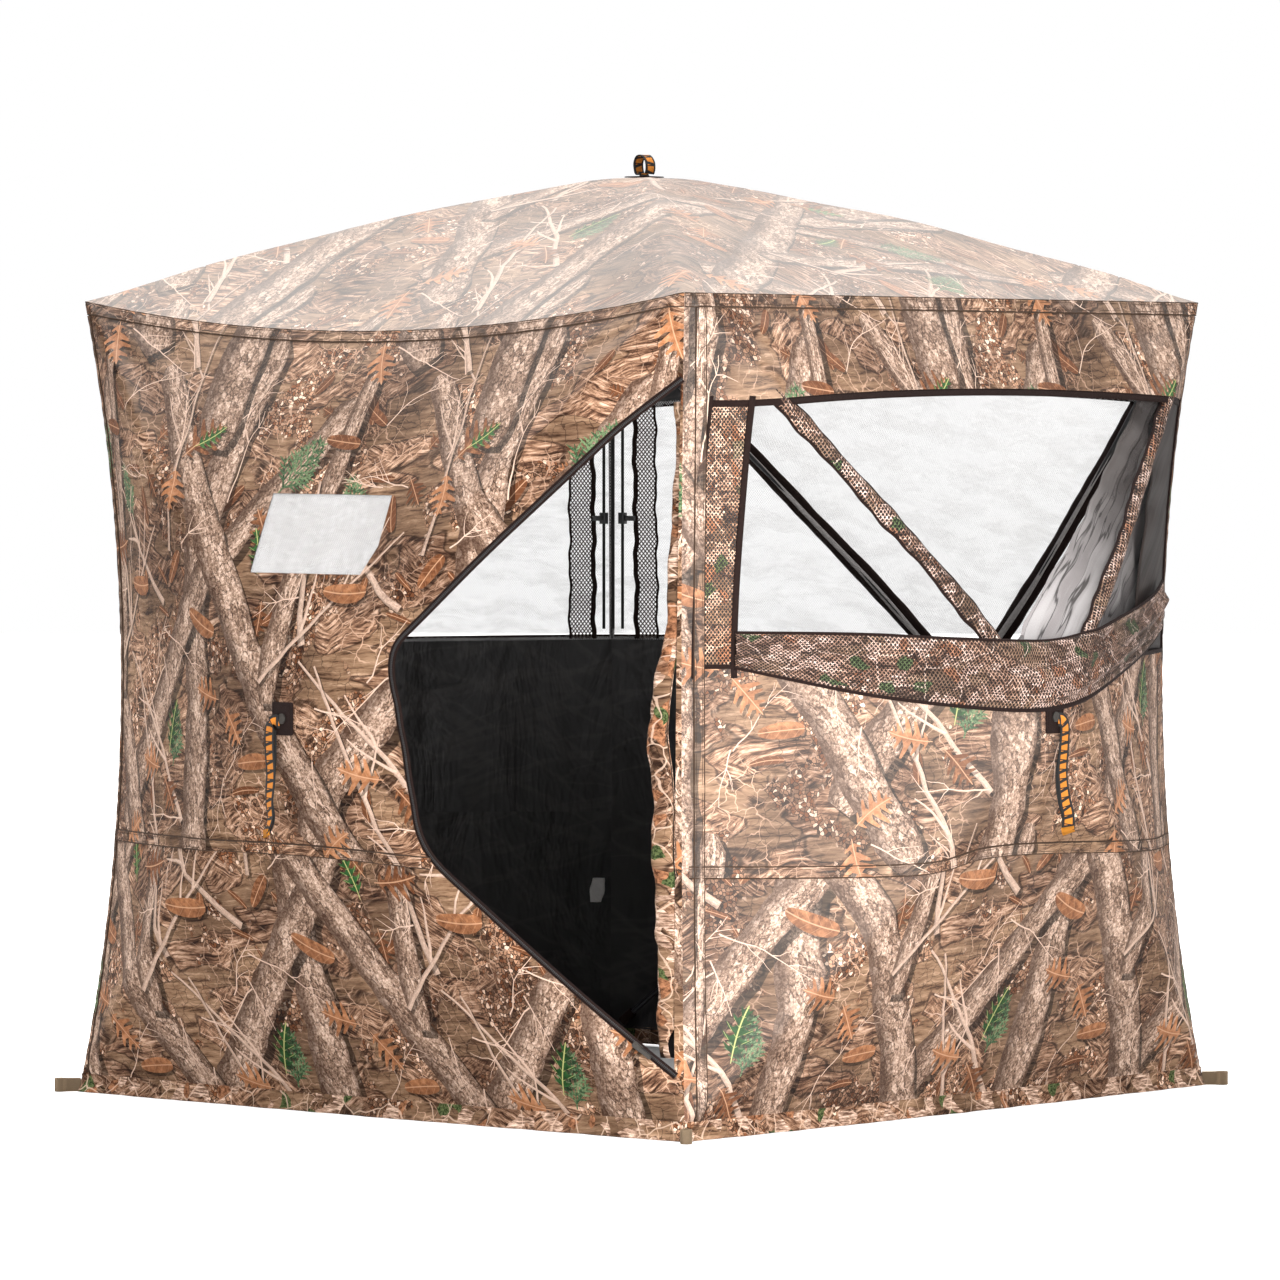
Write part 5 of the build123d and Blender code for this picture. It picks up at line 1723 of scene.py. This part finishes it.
loop = Piece()
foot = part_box("roof_pull_strap")[0].z
places = np.array(
    [
        (0.012, 0.0, foot + 0.0012), (0.0150, 0.0, foot + 0.010), (0.0135, 0.0, foot + 0.024),
        (0.004, 0.0, foot + 0.0345), (-0.0085, 0.0, foot + 0.0335), (-0.0145, 0.0, foot + 0.022),
        (-0.0135, 0.0, foot + 0.009), (-0.010, 0.0, foot + 0.0012), (0.0, 0.0, foot + 0.0010)
    ]
)
line = even(smooth_path(places, 10), 0.0025)
ribbon(loop, line, np.tile((0.12, 1.0, 0.0), (len(line), 1)), 0.024, 0.0026)
piece = loop.build("roof_strap_loop", ["strap", "strap_edge"], "black_webbing", body="roof_hub_body")
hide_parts("roof_pull_strap")

# ------------------------------------------------------------ hem, stake loops

hem = Piece()
ring = []
for side in WALLS:
    t = np.linspace(-1, 1, 121)[:-1]
    u = t * HALF_LOW
    edge_w = HALF_LOW + HEM_BULGE * (1 - t * t)
    for a, b, c in zip(u, edge_w, t):
        ring.append((*side.world([a, 0, b])[0][:2], c, *side.world([0, 0, 1])[0][:2]))
ring = np.array(ring)
section = [
    (0.0335, 0.0004), (0.0345, 0.0014), (0.031, 0.0022), (0.0275, 0.0012), (0.020, 0.0026),
    (0.010, 0.0050), (0.002, 0.0078), (0.0004, 0.0080), (0.0004, 0.0062), (0.010, 0.0032), (0.020, 0.0010),
    (0.0295, -0.0006)
]
rows = []
run = np.arange(len(ring)) * 0.0122
for i, (x, y, c, nx, ny) in enumerate(ring):
    row = []
    diagonal = np.array([x, y]) / np.hypot(x, y)
    blend_out = abs(c) ** 14
    out = np.array([nx, ny]) * (1 - blend_out) + diagonal * blend_out
    wave = 0.0022 * math.sin(run[i] * 33 + 2 * math.sin(run[i] * 11)) + 0.0012 * math.sin(run[i] * 95)
    for z, off in section:
        low = 1 - z / 0.035
        reach = off + low * (wave + 0.004 * abs(c) ** 10)
        row.append((x + out[0] * reach, y + out[1] * reach, max(z, 0.0004)))
    rows.append(row)
rows.append(rows[0])
rows = np.array(rows)
uv = np.stack(
    [
        np.column_stack([np.full(len(section), r), [z for z, _ in section]])
        for r in np.append(run, run[-1] + 0.0122)
    ]
)
hem.loft(rows[:, ::-1], 0, uv[:, ::-1], caps=False)
piece = hem.build("hem_cloth", ["small"], "camo_webbing")
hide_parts("ground_hem")

stakes = Piece()
for turn in range(4):
    angle = math.radians(45 + 90 * turn)
    out = np.array([math.cos(angle), math.sin(angle), 0])
    side_way = np.array([-math.sin(angle), math.cos(angle), 0])
    corner = HALF_LOW * math.sqrt(2)
    plan = [(0.004, 0.0018), (0.020, 0.0020), (0.030, 0.0030)]
    for a in np.radians(np.linspace(140, -140, 23)):
        plan.append((0.042 + 0.0095 * math.cos(a), 0.0095 * math.sin(a)))
    plan += [(0.030, -0.0030), (0.020, -0.0020), (0.004, -0.0018)]
    line = even([out * (corner + a) + side_way * b + np.array([0, 0, 0.0128]) for a, b in plan], 0.002)
    ribbon(stakes, line, np.tile((0, 0, 1.0), (len(line), 1)), 0.0248, 0.0022)
piece = stakes.build("stake_webbing", ["webbing"], "camo_webbing")
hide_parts("stake_loops")

# ------------------------------------------------------------ far corner inside

inside_strips, strip_trims = Piece(), Piece()
for side, sign, near, far in ((LEFT, -1, 0.037, 0.084), (BACK, 1, 0.047, 0.086)):
    heights = np.linspace(WIN_LOW - 0.006, FAR_HIGH + 0.004, 56)
    q = np.array(
        [(sign * (wall_edge(v) - off), v) for v in heights for off in np.linspace(far, near, 8)[:: -sign]]
    )
    q = q.reshape(len(heights), 8, 2)
    points, weight = side.grid(q, -0.0045 - 0.0010 * np.sin(q[..., 1] * 60))
    inside_strips.sheet(points, 0.0006, 0, uv=q, weight=weight)
    for off, wide in ((near, 0.0085), (far, 0.0040)):
        ragged = 0.0016 * np.sin(heights * 61) + 0.0010 * np.sin(heights * 143 + 1)
        trim = np.column_stack([[sign * (wall_edge(v) - off) for v in heights] + ragged, heights])
        profile = [(-1, -0.0046), (0, -0.0040), (1, -0.0046)]
        band(strip_trims, side, even(trim, 0.006), wide, profile, under=-0.0074)
piece = inside_strips.build("corner_net_strips", ["dark_net"], "camo_mesh")
strip_trims.build("corner_strip_trims", ["tape"], "dark_tape")

tag = Piece()
rows = []
for v in np.linspace(0.282, 0.330, 9):
    half = 0.0150 - 0.0045 * ((v - 0.308) / 0.026) ** 2
    middle = 0.6985 + 0.10 * (v - 0.306)
    rows.append([(-middle + x * half, v) for x in np.linspace(-1, 1, 7)])
q = np.array(rows)
points, _ = LEFT.grid(q, -0.0060 - 0.0020 * np.sin(np.arange(63) * 0.7))
tag.sheet(points, 0.0006, 0, uv=q)
tag.build("blank_label", ["tag"], "window_mesh")

# ------------------------------------------------------------ finishes of the CAD nodes

FINISHES = (
    ("_pole_.*(left|right)$", "rod"),
    ("_hub$|^window_hook", "moulded"),
    ("fasteners$|^zip_slider$", "zinc"),
    ("^corner_cords$", "cord"),
    ("", "tape"),
)
for name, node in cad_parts.items():
    if not node.hide_render:
        finish = next(finish for pattern, finish in FINISHES if re.search(pattern, name))
        node.data.materials.clear()
        node.data.materials.append(M[finish])

# ------------------------------------------------------------ stage

SPOKES = 24
angles = np.linspace(0, math.tau, SPOKES, endpoint=False)
radii = np.array([0.01, 3, 9, 30])
floor_mesh = bpy.data.meshes.new("floor")
points = [(0, 0, -0.0008)] + [(r * math.cos(a), r * math.sin(a), -0.0008) for r in radii for a in angles]
faces = [(0, 1 + i, 1 + (i + 1) % SPOKES) for i in range(SPOKES)]
for k in range(len(radii) - 1):
    for i in range(SPOKES):
        a, b = 1 + k * SPOKES + i, 1 + k * SPOKES + (i + 1) % SPOKES
        faces.append((a, a + SPOKES, b + SPOKES, b))
floor_mesh.from_pydata(points, [], faces)
floor_mesh.materials.append(M["floor"])
link("floor", floor_mesh)

world = bpy.data.worlds.new("studio")
bpy.context.scene.world = world
world.use_nodes = True
nodes, links = world.node_tree.nodes, world.node_tree.links
nodes.clear()
output, plain, soft, pick, path, place, split_place, rise = (
    nodes.new("ShaderNode" + kind)
    for kind in (
        "OutputWorld", "Background", "Background", "MixShader", "LightPath", "TexCoord", "SeparateXYZ", "MapRange",
    )
)
links.new(place.outputs["Generated"], split_place.inputs[0])
links.new(split_place.outputs[2], rise.inputs["Value"])
for key, value in (
    ("From Min", 0.0), ("From Max", 0.9), ("To Min", HORIZON_LIGHT), ("To Max", ZENITH_LIGHT)
):
    rise.inputs[key].default_value = value
links.new(rise.outputs[0], soft.inputs["Strength"])
links.new(path.outputs["Is Camera Ray"], pick.inputs[0])
links.new(soft.outputs[0], pick.inputs[1])
links.new(plain.outputs[0], pick.inputs[2])
links.new(pick.outputs[0], output.inputs["Surface"])
for background in (plain, soft):
    background.inputs["Color"].default_value = (1, 1, 1, 1)

top_light = bpy.data.lights.new("top", "SUN")
top_light.energy, top_light.angle = TOP_LIGHT, math.radians(TOP_SPREAD)
softbox = bpy.data.lights.new("softbox", "AREA")
softbox.energy, softbox.size = SOFTBOX_WATTS, SOFTBOX_SIZE
for light, at, to in ((top_light, TOP_AT, (0, 0, 0)), (softbox, SOFTBOX_AT, SOFTBOX_TO)):
    lamp = link(light.name, light)
    lamp.location = at
    lamp.rotation_euler = (Vector(to) - Vector(at)).to_track_quat("-Z", "Y").to_euler()
    lamp.visible_camera = False

camera_data = bpy.data.cameras.new("camera")
camera = link("camera", camera_data)
camera.location = CAMERA_AT
heading, pitch = math.radians(CAMERA_TURN), math.radians(CAMERA_DIP)
look = Vector((-math.sin(heading) * math.cos(pitch), math.cos(heading) * math.cos(pitch), -math.sin(pitch)))
camera.rotation_euler = look.to_track_quat("-Z", "Y").to_euler()
camera_data.sensor_width = 36
camera_data.lens = CAMERA_LENS
camera_data.clip_end = 100
bpy.context.scene.camera = camera
bpy.context.scene.view_settings.view_transform = "Standard"
